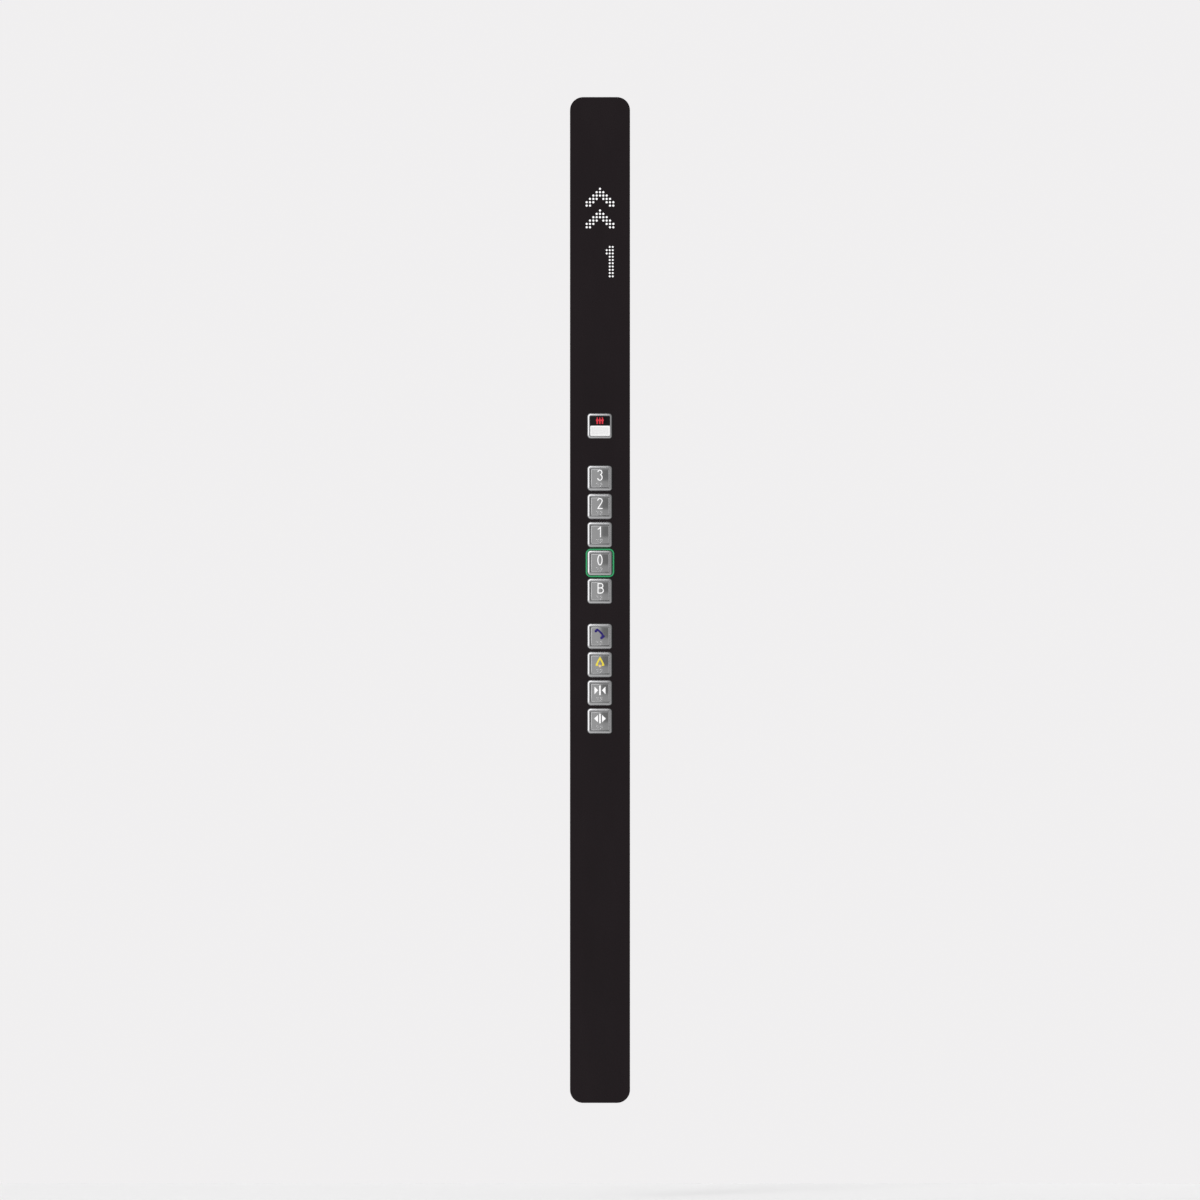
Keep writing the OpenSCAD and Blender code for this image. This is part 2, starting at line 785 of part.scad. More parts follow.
module controller_parts() {
    chip_z = controller_h / 12;
    relay_d = 9;
    color([0.13, 0.13, 0.14]) {
        on_controller(0, chip_z) block_part(controller_w / 4, controller_w / 4, 1.6);
        for (x = [-controller_w / 4, controller_w / 4])
            on_controller(x, controller_h / 4) block_part(10, controller_h / 13, 2.4);
        for (x = [-1, 0, 1])
            on_controller(x * controller_w / 3, -controller_h / 6) block_part(12, 15, relay_d);
        for (x = [-1, 1])
            on_controller(x * (controller_w / 2 - 8), chip_z) rotate([-90, 0, 0])
                cylinder(r = 4, h = relay_d);
    }
}

module terminal_block() {
    ways = 8;
    pitch = 5.08;
    run = ways * pitch;
    depth = 9;
    height = 10;
    color([0.1, 0.45, 0.25]) on_controller(0, -controller_h / 2 + 14) difference() {
        block_part(run, height, depth);
        for (i = [0:ways - 1])
            translate([-run / 2 + (i + 0.5) * pitch, 0, 0]) {
                translate([0, depth - 3, 2]) rotate([-90, 0, 0]) cylinder(r = 1.6, h = 4, $fn = 24);
                translate([-1.6, 2, -height / 2 - 1]) cube([3.2, 3.6, 5]);
            }
    }
}

function connector_places() = [
    [arrow_mid - arrow_block.y / 2 + 4, block_back - board_t],
    [digit_mid + digit_block.y / 2 - 4, block_back - board_t],
    [digit_mid - digit_block.y / 2 + 4, block_back - board_t],
    [floor_board_z + floor_board_h / 2 - 8, button_board_front - board_t],
    [floor_board_z - floor_board_h / 2 + 8, button_board_front - board_t],
    [car_board_z + car_board_h / 2 - 8, button_board_front - board_t],
    [car_board_z - car_board_h / 2 + 8, button_board_front - board_t],
    [controller_z + controller_h / 2 - 8, controller_back]
];

module board_connectors() {
    color([0.08, 0.08, 0.09])
        for (place = connector_places())
            translate([-connector_w / 2, -place[1], place[0] - connector_h / 2])
                cube([connector_w, connector_d, connector_h]);
}

// A flat cable between two connectors, lying on their backs
module flat_cable(upper, lower) {
    cable_w = 12;
    cable_t = 1;
    high = upper[1] - connector_d;
    low = lower[1] - connector_d;
    top = upper[0] + connector_h / 2;
    bottom = lower[0] - connector_h / 2;
    bend_top = upper[0] - connector_h / 2 - 2;
    bend_bottom = lower[0] + connector_h / 2 + 2;
    translate([-cable_w / 2, 0, 0]) rotate([90, 0, 90]) linear_extrude(cable_w)
        polygon([
            [-high, top], [-high + cable_t, top],
            [-high + cable_t, bend_top], [-low + cable_t, bend_bottom], [-low + cable_t, bottom],
            [-low, bottom], [-low, bend_bottom], [-high, bend_top]
        ]);
}

module ribbon_cables() {
    places = connector_places();
    color([0.55, 0.56, 0.58])
        for (i = [0, 2, 4, 6])
            flat_cable(places[i], places[i + 1]);
}

module board_spacers() {
    far_x = controller_w / 2 - 4;
    far_z = controller_h / 2 - 5;
    color([0.78, 0.7, 0.4])
        for (x = [-1, 1])
            for (z = [-1, 0, 1])
                translate([x * far_x, -(controller_back + board_t), controller_z + z * far_z])
                    rotate([90, 0, 0]) cylinder(r = 3, h = spacer_len, $fn = 6);
}

module speaker() {
    base_t = 2;
    color([0.15, 0.15, 0.16]) translate([speaker_x, speaker_y, sill_z + carrier_t]) {
        translate([-speaker_w / 2, -speaker_d / 2, 0]) cube([speaker_w, speaker_d, base_t]);
        translate([0, 0, base_t]) cylinder(r1 = 7.5, r2 = 6, h = 3);
        translate([0, 0, base_t + 3]) cylinder(r = 6, h = speaker_h - base_t - 3);
    }
}

module microphone() {
    capsule_t = 6.7;
    color([0.2, 0.2, 0.22]) translate([carrier_w / 2 - carrier_t, mic_y, mic_z])
        rotate([0, -90, 0]) cylinder(r = mic_r, h = capsule_t);
}

tray_back();
tray_sides();
tray_ends();
translate([0, 0, entry_z]) cable_grommet();
earth_stud();
hinge_tray_leaves();
hinge_pins();
lock_keeper();
faceplate();
carrier_plate();
carrier_flanges();
hinge_front_leaves();
lock_barrel();
lock_cam();
button_bezels();
exit_floor_collar();
button_housings();
push_switches();
indicator_bezel();
indicator_window();
indicator_lens();
indicator_housing();
led_matrix_blocks();
display_leds();
front_boards();
controller_board();
controller_parts();
terminal_block();
board_connectors();
board_spacers();
ribbon_cables();
speaker();
microphone();
for (i = [0:len(LABELS) - 1]) {
    cap(button_zs[i]);
    plunger(button_zs[i]);
    return_spring(button_zs[i]);
}
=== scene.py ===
import json
import math

import bmesh
import bpy
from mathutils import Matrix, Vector

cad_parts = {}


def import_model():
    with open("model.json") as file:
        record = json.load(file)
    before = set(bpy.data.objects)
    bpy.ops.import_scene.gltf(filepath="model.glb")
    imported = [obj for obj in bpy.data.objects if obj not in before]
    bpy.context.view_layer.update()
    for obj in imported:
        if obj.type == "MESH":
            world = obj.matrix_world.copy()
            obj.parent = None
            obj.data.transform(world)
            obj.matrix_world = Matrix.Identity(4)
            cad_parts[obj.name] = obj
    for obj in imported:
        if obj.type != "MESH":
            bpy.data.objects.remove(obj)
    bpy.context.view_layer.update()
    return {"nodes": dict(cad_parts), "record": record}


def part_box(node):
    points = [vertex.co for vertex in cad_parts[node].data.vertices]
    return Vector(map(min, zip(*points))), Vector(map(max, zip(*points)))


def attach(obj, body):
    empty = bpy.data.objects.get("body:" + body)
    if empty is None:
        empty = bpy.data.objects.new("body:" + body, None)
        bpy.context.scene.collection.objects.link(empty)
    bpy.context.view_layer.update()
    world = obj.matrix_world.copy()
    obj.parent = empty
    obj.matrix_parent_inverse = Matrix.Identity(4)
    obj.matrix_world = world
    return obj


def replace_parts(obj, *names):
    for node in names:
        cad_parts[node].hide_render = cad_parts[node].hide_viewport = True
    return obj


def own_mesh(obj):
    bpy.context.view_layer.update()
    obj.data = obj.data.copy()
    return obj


# Looks of an elevator car operating panel: its finishes, the meshes that take the place of
# some CAD nodes, the legends and small parts that the CAD leaves out, and the studio.
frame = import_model()
SCENE = bpy.context.scene

# Lengths are millimetres until point() turns them into metres. x is to the right, z up,
# and h is the distance from the wall, so the front faces -Y.
MM = 0.001


def point(x, h, z):
    return Vector((x * MM, -h * MM, z * MM))


# Places and sizes that the frame gives

def in_mm(metres):
    return round(metres / MM, 3)


def front_of(node):
    return in_mm(-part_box(node)[0][1])


def back_of(node):
    return in_mm(-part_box(node)[1][1])


def middle_of(node):
    """The z of a node's middle."""
    low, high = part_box(node)
    return in_mm((low[2] + high[2]) / 2)


def size_of(node):
    """A node's width and height."""
    low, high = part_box(node)
    return in_mm(high[0] - low[0]), in_mm(high[2] - low[2])


LABELS = ["3", "2", "1", "0", "b", "call", "alarm", "close", "open"]
BUTTON_Z = [middle_of("cap_" + label) for label in LABELS]
INDICATOR_Z = middle_of("indicator_bezel")
FACE = front_of("faceplate")
TOP_EDGE = size_of("faceplate")[1] / 2
CAP_TOP = front_of("cap_0")
CAP_BACK = back_of("cap_0")
CAP_W = size_of("cap_0")[0]

# The backs of the circuit boards, which their joints and small parts stand on
BOARD_T = 1.6
BUTTON_BOARD = back_of("front_boards")
DISPLAY_BOARD = back_of("led_matrix_blocks") - BOARD_T
CONTROLLER = back_of("controller_board")
CONTROLLER_Z = middle_of("controller_board")


# Nodes of the materials

def material(name):
    look = bpy.data.materials.new(name)
    look.use_nodes = True
    tree = look.node_tree
    tree.nodes.clear()
    out = tree.nodes.new("ShaderNodeOutputMaterial")
    shader = tree.nodes.new("ShaderNodeBsdfPrincipled")
    tree.links.new(shader.outputs[0], out.inputs[0])
    return look, tree, shader


def on_object(tree, scale=(1, 1, 1), turn=(0, 0, 0)):
    """Object coordinates, stretched and turned."""
    coordinates = tree.nodes.new("ShaderNodeTexCoord")
    mapping = tree.nodes.new("ShaderNodeMapping")
    mapping.inputs["Scale"].default_value = scale
    mapping.inputs["Rotation"].default_value = turn
    tree.links.new(coordinates.outputs["Object"], mapping.inputs["Vector"])
    return mapping.outputs[0]


def noise(tree, scale, stretch=(1, 1, 1), detail=3.0, rough=0.5):
    texture = tree.nodes.new("ShaderNodeTexNoise")
    texture.inputs["Scale"].default_value = scale
    texture.inputs["Detail"].default_value = detail
    texture.inputs["Roughness"].default_value = rough
    tree.links.new(on_object(tree, stretch), texture.inputs["Vector"])
    return texture.outputs["Fac"]


def cells(tree, vector, scale, dimensions="3D", distance="EUCLIDEAN", randomness=1.0):
    """Voronoi cells: its colour tells them apart, and its distance rings their middles."""
    texture = tree.nodes.new("ShaderNodeTexVoronoi")
    texture.voronoi_dimensions = dimensions
    texture.distance = distance
    texture.inputs["Scale"].default_value = scale
    texture.inputs["Randomness"].default_value = randomness
    tree.links.new(vector, texture.inputs["Vector"])
    return texture


def spread(tree, value, low, high, start=0.3, end=0.7):
    """A number that goes from low to high while value goes from start to end."""
    ramp = tree.nodes.new("ShaderNodeMapRange")
    ramp.inputs["From Min"].default_value = start
    ramp.inputs["From Max"].default_value = end
    ramp.inputs["To Min"].default_value = low
    ramp.inputs["To Max"].default_value = high
    tree.links.new(value, ramp.inputs["Value"])
    return ramp.outputs[0]


def shade(colour, k):
    return tuple(min(1.0, c * k) for c in colour)


def shades(tree, value, colour, dark, light, start=0.3, end=0.7):
    """A colour that goes from its dark shade to its light one while value goes from start to end."""
    ramp = tree.nodes.new("ShaderNodeValToRGB")
    first, second = ramp.color_ramp.elements
    first.position = start
    first.color = (*shade(colour, dark), 1)
    second.position = end
    second.color = (*shade(colour, light), 1)
    tree.links.new(value, ramp.inputs[0])
    return ramp.outputs[0]


def mix_colours(tree, share, a, b):
    """Colour b over colour a, each of them a colour or an output."""
    mix = tree.nodes.new("ShaderNodeMix")
    mix.data_type = "RGBA"
    for value, socket in ((share, mix.inputs[0]), (a, mix.inputs[6]), (b, mix.inputs[7])):
        if isinstance(value, tuple):
            socket.default_value = (*value, 1)
        else:
            tree.links.new(value, socket)
    return mix.outputs[2]


def bump(tree, shader, value, strength, distance):
    node = tree.nodes.new("ShaderNodeBump")
    node.inputs["Strength"].default_value = strength
    node.inputs["Distance"].default_value = distance
    tree.links.new(value, node.inputs["Height"])
    tree.links.new(node.outputs[0], shader.inputs["Normal"])


def dress(tree, shader, tone, rough):
    tree.links.new(tone, shader.inputs["Base Color"])
    tree.links.new(rough, shader.inputs["Roughness"])


# Kinds of material. Their reliefs are in metres and their noise scales in cycles per metre

def plastic(name, colour, rough=0.4, vary=0.12, grain=2600, relief=0.00004, specular=0.5):
    """Moulded plastic: a fine spark-eroded grain, and slight cloudiness in its colour."""
    look, tree, shader = material(name)
    cloud = noise(tree, 55, detail=4)
    tone = shades(tree, cloud, colour, 1 - vary, 1 + vary)
    dress(tree, shader, tone, spread(tree, cloud, rough - 0.05, rough + 0.06))
    shader.inputs["Specular IOR Level"].default_value = specular
    bump(tree, shader, noise(tree, grain, detail=2), 0.35, relief)
    return look


def shaded_in_gap(name, colour, rough, shade_from, shade_to):
    """Moulded plastic darkened by painted shade deeper in the gap round the cap, from one h to another."""
    look, tree, shader = material(name)
    parts = tree.nodes.new("ShaderNodeSeparateXYZ")
    tree.links.new(on_object(tree), parts.inputs[0])
    # Painted shade: the plastic darkens towards the back of the gap round the cap
    gap_shade = spread(tree, parts.outputs["Y"], 0.0, 1.0, -shade_from * MM, -shade_to * MM)
    cloud = noise(tree, 55, detail=4)
    tone = mix_colours(tree, gap_shade, shades(tree, cloud, colour, 0.95, 1.05), shade(colour, 0.13))
    dress(tree, shader, tone, spread(tree, cloud, rough - 0.05, rough + 0.06))
    return look


def brushed(name, colour, rough=0.2, along="z", vary=0.08, relief=0.000004, scale=900):
    """Metal with a grain of fine lines along one axis."""
    look, tree, shader = material(name)
    stretch = {"x": (0.02, 1, 1), "y": (1, 0.02, 1), "z": (1, 1, 0.02)}[along]
    lines = noise(tree, scale, stretch, detail=5, rough=0.65)
    cloud = noise(tree, 30, detail=3)
    tone = shades(tree, lines, colour, 1 - vary, 1 + vary, 0.25, 0.75)
    dress(tree, shader, tone, spread(tree, cloud, rough * 0.85, rough * 1.2))
    shader.inputs["Metallic"].default_value = 1.0
    bump(tree, shader, lines, 0.3, relief)
    return look


def galvanised(name, colour):
    """Zinc plated sheet with its crystal spangle and a dull bloom."""
    look, tree, shader = material(name)
    spangle = tree.nodes.new("ShaderNodeRGBToBW")
    tree.links.new(cells(tree, on_object(tree, (1, 1, 0.8)), 130).outputs["Color"], spangle.inputs[0])
    crystal = spangle.outputs[0]
    cloud = noise(tree, 18, detail=6, rough=0.6)
    tone = shades(tree, crystal, colour, 0.86, 1.12, 0.2, 0.8)
    tone = mix_colours(tree, spread(tree, cloud, 0.0, 0.35), tone, shade(colour, 0.7))
    dress(tree, shader, tone, spread(tree, crystal, 0.34, 0.5, 0.2, 0.8))
    shader.inputs["Metallic"].default_value = 0.92
    bump(tree, shader, cloud, 0.25, 0.00006)
    return look


def circuit(name, colour):
    """Solder mask over a pattern of squared copper tracks, with tinned holes."""
    look, tree, shader = material(name)
    flat = on_object(tree, turn=(math.radians(90), 0, 0))
    squares = cells(tree, flat, 62, "2D", "CHEBYCHEV", 0.9).outputs["Distance"]
    rounds = cells(tree, flat, 190, "2D", "EUCLIDEAN", 0.5).outputs["Distance"]
    bands = tree.nodes.new("ShaderNodeMath")
    bands.operation = "PINGPONG"
    bands.inputs[1].default_value = 0.055
    tree.links.new(squares, bands.inputs[0])
    tracks = spread(tree, bands.outputs[0], 1.0, 0.0, 0.016, 0.022)
    holes = spread(tree, rounds, 1.0, 0.0, 0.10, 0.13)
    cloud = noise(tree, 40, detail=4)
    red, green, blue = colour
    tone = mix_colours(tree, tracks, shade(colour, 0.8), (red + 0.03, green * 1.9, blue * 1.5))
    tone = mix_colours(tree, spread(tree, cloud, 0.0, 0.3), tone, shade(colour, 0.55))
    tone = mix_colours(tree, holes, tone, (0.42, 0.42, 0.38))
    dress(tree, shader, tone, spread(tree, cloud, 0.28, 0.42))
    tree.links.new(holes, shader.inputs["Metallic"])
    bump(tree, shader, tracks, 0.3, 0.00003)
    return look


def acrylic(name, colour, rough, specular):
    """Polished sheet: very faint wipe marks in its gloss and a trace of waviness."""
    look, tree, shader = material(name)
    wipe = noise(tree, 14, (1, 1, 0.35), detail=6, rough=0.6)
    tone = shades(tree, wipe, colour, 0.9, 1.12)
    dress(tree, shader, tone, spread(tree, wipe, rough * 0.85, rough * 1.25))
    shader.inputs["Specular IOR Level"].default_value = specular
    bump(tree, shader, noise(tree, 60, detail=1), 0.04, 0.00002)
    return look


def lit(name, colour, strength, body=1.0):
    """Part that glows. The display's dots and the red figures have light behind them; the glow of the lens,
    its border and the white legends is painted light. body is how pale it is without the glow.
    """
    look, tree, shader = material(name)
    cloud = noise(tree, 700, detail=2)
    dress(tree, shader, shades(tree, cloud, colour, 0.9 * body, body), spread(tree, cloud, 0.25, 0.35))
    shader.inputs["Emission Color"].default_value = (*colour, 1)
    shader.inputs["Emission Strength"].default_value = strength
    return look


MATERIALS = {
    "faceplate": acrylic("faceplate_acrylic", (0.0083, 0.0046, 0.0060), rough=0.24, specular=0.25),
    "tray_steel": galvanised("tray_zinc", (0.55, 0.56, 0.57)),
    "hinge_steel": brushed("hinge_steel", (0.5, 0.5, 0.51), 0.32, "z", vary=0.1),
    "lock_steel": brushed("lock_nickel", (0.62, 0.62, 0.6), 0.2, "x", vary=0.06),
    "bezel_steel": brushed(
        "bezel_stainless", (0.62, 0.62, 0.63), 0.17, "x", vary=0.03, relief=0.000002, scale=1500),
    "cap_steel": brushed(
        "cap_stainless", (0.60, 0.60, 0.605), 0.10, "z", vary=0.035, relief=0.0000012, scale=1800),
    "spring_steel": brushed("spring_wire", (0.55, 0.55, 0.56), 0.28, "y", vary=0.1),
    "collar_green": plastic("collar_plastic", (0.026, 0.36, 0.13), 0.32, vary=0.06, relief=0.00001),
    "window_dark": acrylic("window_smoked", (0.004, 0.003, 0.004), rough=0.12, specular=0.3),
    # The lens's faint glow is painted light that lifts it above a shaded white
    "lens_white": lit("lens_opal", (0.95, 0.95, 0.95), strength=0.12, body=0.8),
    "led_white": lit("led_lit", (1.0, 1.0, 1.0), strength=0.85, body=0.25),
    "housing_black": plastic("housing_plastic", (0.02, 0.02, 0.022), 0.5, vary=0.2),
    "switch_black": plastic("component_plastic", (0.028, 0.028, 0.032), 0.42, vary=0.2),
    # The plunger is painted darker deeper in the gap round the cap: painted shade
    "plunger_white": shaded_in_gap("plunger_plastic", (0.72, 0.72, 0.68), 0.35, shade_from=31.8, shade_to=32.7),
    "board_green": circuit("board_mask", (0.008, 0.085, 0.03)),
    "terminal_green": plastic("terminal_plastic", (0.02, 0.26, 0.09), 0.4, vary=0.1),
    "ribbon_grey": plastic("ribbon_sheath", (0.34, 0.35, 0.37), 0.5, vary=0.08),
    "speaker_black": plastic("speaker_frame", (0.022, 0.022, 0.024), 0.45, vary=0.2),
    "brass": brushed("brass_turned", (0.62, 0.44, 0.18), 0.25, "y", vary=0.1),
    "rubber": plastic(
        "bush_rubber", (0.014, 0.014, 0.014), 0.7, vary=0.25, grain=900, relief=0.00008, specular=0.3),
    # The white legends glow: painted light that makes them read full white
    "legend_white": lit("legend_white", (0.9, 0.9, 0.9), strength=0.22),
    "legend_blue": plastic(
        "legend_blue", (0.020, 0.009, 0.160), 0.4, vary=0.08, grain=1500, relief=0.00001, specular=0.3),
    "legend_yellow": plastic(
        "legend_yellow", (0.86, 0.71, 0.05), 0.35, vary=0.05, grain=1500, relief=0.00001),
    "legend_red": lit("legend_red", (0.62, 0.025, 0.045), strength=0.2),
}
ORANGE = plastic("clapper_orange", (0.84, 0.60, 0.31), 0.35, vary=0.05, grain=1500, relief=0.00001)
# The lens border glows more than the lens: a painted highlight against the shade at the bezel's wall
BORDER = lit("lens_border", (1.0, 1.0, 1.0), strength=0.22, body=0.85)
DOT = brushed("braille_steel", (0.80, 0.80, 0.81), 0.42, "z", vary=0.05)
SOLDER = brushed("solder_joint", (0.6, 0.6, 0.58), 0.3, "x", vary=0.1)
STRIPE = plastic("ribbon_stripe", (0.42, 0.04, 0.03), 0.5, vary=0.08)

for part in frame["record"]["subparts"]:
    for used in frame["nodes"][part["node"]].material_slots:
        used.material = MATERIALS[part["material_slot"]]


# Outlines, as (x, z) points

def circle(r, n):
    return [(r * math.cos(math.tau * i / n), r * math.sin(math.tau * i / n)) for i in range(n)]


def arc(cx, cz, rx, rz, start, end, n):
    """Points of an ellipse about (cx, cz), from one angle in degrees to another."""
    turns = [math.radians(start + (end - start) * i / n) for i in range(n + 1)]
    return [(cx + rx * math.cos(a), cz + rz * math.sin(a)) for a in turns]


def between(a, b, n):
    """n points spaced evenly on the line from a to b, without its ends."""
    return [
        (a[0] + (b[0] - a[0]) * j / (n + 1), a[1] + (b[1] - a[1]) * j / (n + 1))
        for j in range(1, n + 1)
    ]


def outline(w, h, r, n, side=0):
    """Rounded rectangle about the middle, with n steps to a corner and side points on each straight run."""
    r = max(r, 0.02)
    corners = []
    for k, (sx, sz) in enumerate(((1, 1), (-1, 1), (-1, -1), (1, -1))):
        corner = []
        for i in range(n + 1):
            a = math.radians(90 * k + 90 * i / n)
            corner.append((sx * (w / 2 - r) + r * math.cos(a), sz * (h / 2 - r) + r * math.sin(a)))
        corners.append(corner)
    points = []
    for k, corner in enumerate(corners):
        points += corner + between(corner[-1], corners[(k + 1) % 4][0], side)
    return points


def lifted(points, h, x0, z0):
    """An outline at a height, moved to x0 and z0. The height may be a function of the place in it."""
    return [(x0 + x, h(x, z) if callable(h) else h, z0 + z) for x, z in points]


# Meshes

def place(name, bm, body, slot, look=None, sharp=32):
    """A finished mesh becomes a piece on a body. Edges above sharp degrees stay crisp."""
    bmesh.ops.recalc_face_normals(bm, faces=bm.faces)
    mesh = bpy.data.meshes.new(name)
    bm.to_mesh(mesh)
    bm.free()
    mesh.shade_smooth()
    mesh.set_sharp_from_angle(angle=math.radians(sharp))
    piece = bpy.data.objects.new(name, mesh)
    SCENE.collection.objects.link(piece)
    mesh.materials.append(look or MATERIALS[slot])
    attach(piece, body)
    return piece


def loft(bm, rings, closed=False):
    """A skin over rings of (x, h, z) points, joined to a loop where closed, and else with flat ends."""
    rows = [[bm.verts.new(point(*p)) for p in ring] for ring in rings]
    if closed:
        rows.append(rows[0])
    n = len(rows[0])
    for a, b in zip(rows, rows[1:]):
        for i in range(n):
            j = (i + 1) % n
            bm.faces.new((a[i], a[j], b[j], b[i]))
    if not closed:
        bm.faces.new(rows[0])
        bm.faces.new(list(reversed(rows[-1])))


def dome(bm, x, z, h, r, rise, n, rings=4, out=1):
    """A raised dot. out is 1 towards the front and -1 towards the wall."""
    foot, top = 0.1, 0.08
    rows = [lifted(circle(r, n), h - foot * out, x, z)]
    for k in range(rings):
        a = math.radians(90 * k / rings)
        rows.append(lifted(circle(r * math.cos(a), n), h + out * rise * math.sin(a), x, z))
    rows.append(lifted(circle(r * top, n), h + out * rise, x, z))
    loft(bm, rows)


def block(bm, x, z, w, d, low, high, edge):
    """A box with eased edges between two heights, on either side of a board."""
    step = edge if high > low else -edge
    loft(bm, [
        lifted(outline(w, d, edge, 2), low, x, z),
        lifted(outline(w, d, edge, 2), high - step, x, z),
        lifted(outline(w - 2 * edge, d - 2 * edge, 0.05, 2), high, x, z),
    ])


# The section of a stroke, as points of how far across and how high. Its last two are sunk
SUNK = -0.35
SECTION = [
    (-1, 0.0), (-0.93, 0.5), (-0.72, 0.86), (-0.35, 0.98),
    (0.35, 0.98), (0.72, 0.86), (0.93, 0.5), (1, 0.0), (1, SUNK), (-1, SUNK),
]
# Angles of the rings that round off its ends, in degrees
ROUNDING = (30, 55, 80)
# The edge of a slab, as shares of its size and of its rise
SLAB_EDGE = ((1.0, SUNK), (1.0, 0.6), (0.96, 0.9), (0.9, 1.0))


def stroke(bm, path, half, rise, surface, z0, closed=False):
    """A raised line of rounded section along a path, following the surface that it stands on."""
    points = [Vector(p) for p in path]
    n = len(points)
    rings = []

    def add_ring(middle, across, width, lift):
        row = []
        for u, v in SECTION:
            q = middle + across * (u * width)
            row.append((q.x, surface(q.x, z0 + q.y) + v * rise * lift, z0 + q.y))
        rings.append(row)

    def add_end(p, outwards, across, angles):
        for angle in angles:
            c, s = math.cos(math.radians(angle)), math.sin(math.radians(angle))
            add_ring(p + outwards * half * s, across, half * c, max(c, 0.35))

    for i, p in enumerate(points):
        starts = i == 0 and not closed
        stops = i == n - 1 and not closed
        back = p if starts else points[i - 1]
        ahead = p if stops else points[(i + 1) % n]
        coming = ((ahead if starts else p) - back).normalized()
        leaving = (ahead - (back if stops else p)).normalized()
        n1, n2 = Vector((-coming.y, coming.x)), Vector((-leaving.y, leaving.x))
        across = (n1 + n2).normalized()
        across /= max(across.dot(n1), 0.5)
        if starts:
            add_end(p, -coming, n1, ROUNDING[::-1])
        add_ring(p, across, half, 1.0)
        if stops:
            add_end(p, leaving, n2, ROUNDING)
    loft(bm, rings, closed=closed)


def slab(bm, corners, rise, surface, z0):
    """A raised flat sign with an eased edge."""
    cx = sum(x for x, z in corners) / len(corners)
    cz = sum(z for x, z in corners) / len(corners)
    fine = []
    for i, p in enumerate(corners):
        fine += [p] + between(p, corners[(i + 1) % len(corners)], 3)
    rings = []
    for k, lift in SLAB_EDGE:
        row = []
        for x, z in fine:
            px, pz = cx + (x - cx) * k, z0 + cz + (z - cz) * k
            row.append((px, surface(px, pz) + lift * rise, pz))
        rings.append(row)
    loft(bm, rings)


# Bezels

BEZEL_W, BEZEL_R = size_of("indicator_bezel")[0], 5.0
BUTTON_RIM, INDICATOR_RIM = 4.7, 3.7
SLEEVE_W, SLEEVE_R, SLEEVE_BACK = 31.6, 2.3, back_of("button_bezels")
# How high the rim stands inside and at its outer side, and how wide its rounded part is
CREST, SIDE, ROUNDED = round(front_of("button_bezels") - FACE, 3), 0.8, 3.0
# How far the crest bows down towards the corners, and the chamfer on its inner edge
BOW, CHAMFER_W, CHAMFER_D = 0.24, 1.1, 0.075
# How far its side draws in, and at what share of its height
RIM_SIDE = ((0, 0), (0, 0.6), (0.05, 0.85))
# How far the profile keeps from its two sides, and how far below the crest the inner one starts
OUTER_EASE, INNER_EASE, INNER_DROP = 0.12, 0.03, 0.2
# Steps of the rim's profile, then of a corner, and points on each straight side
RIM_STEPS, BEZEL_MESH = 16, (8, 9)


def bezel(bm, rim, z0):
    """A frame with a rim of that width, flat inside and rounded outside, and a sleeve behind it."""
    flat = 1 - ROUNDED / rim

    def at_inset(inset, h):
        w = BEZEL_W - 2 * inset

        def bowed(x, z):
            along = min(abs(x), abs(z)) / (BEZEL_W / 2)
            return h - BOW * along * along * min(1.0, (h - FACE) / CREST)

        return lifted(outline(w, w, max(BEZEL_R - inset, 0.3), *BEZEL_MESH), bowed, 0, z0)

    rings = [at_inset(inset, FACE + SIDE * share) for inset, share in RIM_SIDE]
    for i in range(RIM_STEPS + 1):
        inwards = i / RIM_STEPS
        outwards = 1 - inwards
        u = max(0.0, (outwards - flat) / (1 - flat))
        v = max(0.0, 1 - outwards * rim / CHAMFER_W)
        h = FACE + CREST - (CREST - SIDE) * u * u - CHAMFER_D * v
        rings.append(at_inset(OUTER_EASE + (rim - (OUTER_EASE + INNER_EASE)) * inwards, h))
    rings.append(at_inset(rim, FACE + CREST - INNER_DROP))
    rings.append(at_inset(rim, SLEEVE_BACK))
    for h in (SLEEVE_BACK, FACE):
        rings.append(lifted(outline(SLEEVE_W, SLEEVE_W, SLEEVE_R, *BEZEL_MESH), h, 0, z0))
    loft(bm, rings, closed=True)


bm = bmesh.new()
for z in BUTTON_Z:
    bezel(bm, BUTTON_RIM, z)
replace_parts(place("bezel_frames", bm, "front", "bezel_steel", sharp=50), "button_bezels")

bm = bmesh.new()
bezel(bm, INDICATOR_RIM, INDICATOR_Z)
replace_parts(place("indicator_frame", bm, "front", "bezel_steel", sharp=50), "indicator_bezel")


# Collar of the exit floor

COLLAR_W, COLLAR_R, COLLAR_MESH = size_of("exit_floor_collar")[0], 7.1, (8, 3)
COLLAR_Z = middle_of("exit_floor_collar")
# How far in from its edge, and how high above the face
COLLAR_PROFILE = [
    (0, 0), (0, 0.85), (0.1, 1.08), (0.3, 1.24), (0.6, 1.3),
    (1.35, 1.3), (1.65, 1.24), (1.82, 1.08), (1.9, 0.85), (1.9, 0),
]

rings = []
for inset, h in COLLAR_PROFILE:
    w = COLLAR_W - 2 * inset
    rings.append(lifted(outline(w, w, COLLAR_R - inset, *COLLAR_MESH), FACE + h, 0, COLLAR_Z))
bm = bmesh.new()
loft(bm, rings, closed=True)
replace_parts(place("collar_frame", bm, "front", "collar_green", sharp=50), "exit_floor_collar")


# Caps

# The crown falls by CROWN times the square of the distance from the middle
CROWN = 0.0026
CAP_R, FIELD_R, CAP_MESH = 1.0, 0.8, (5, 11)
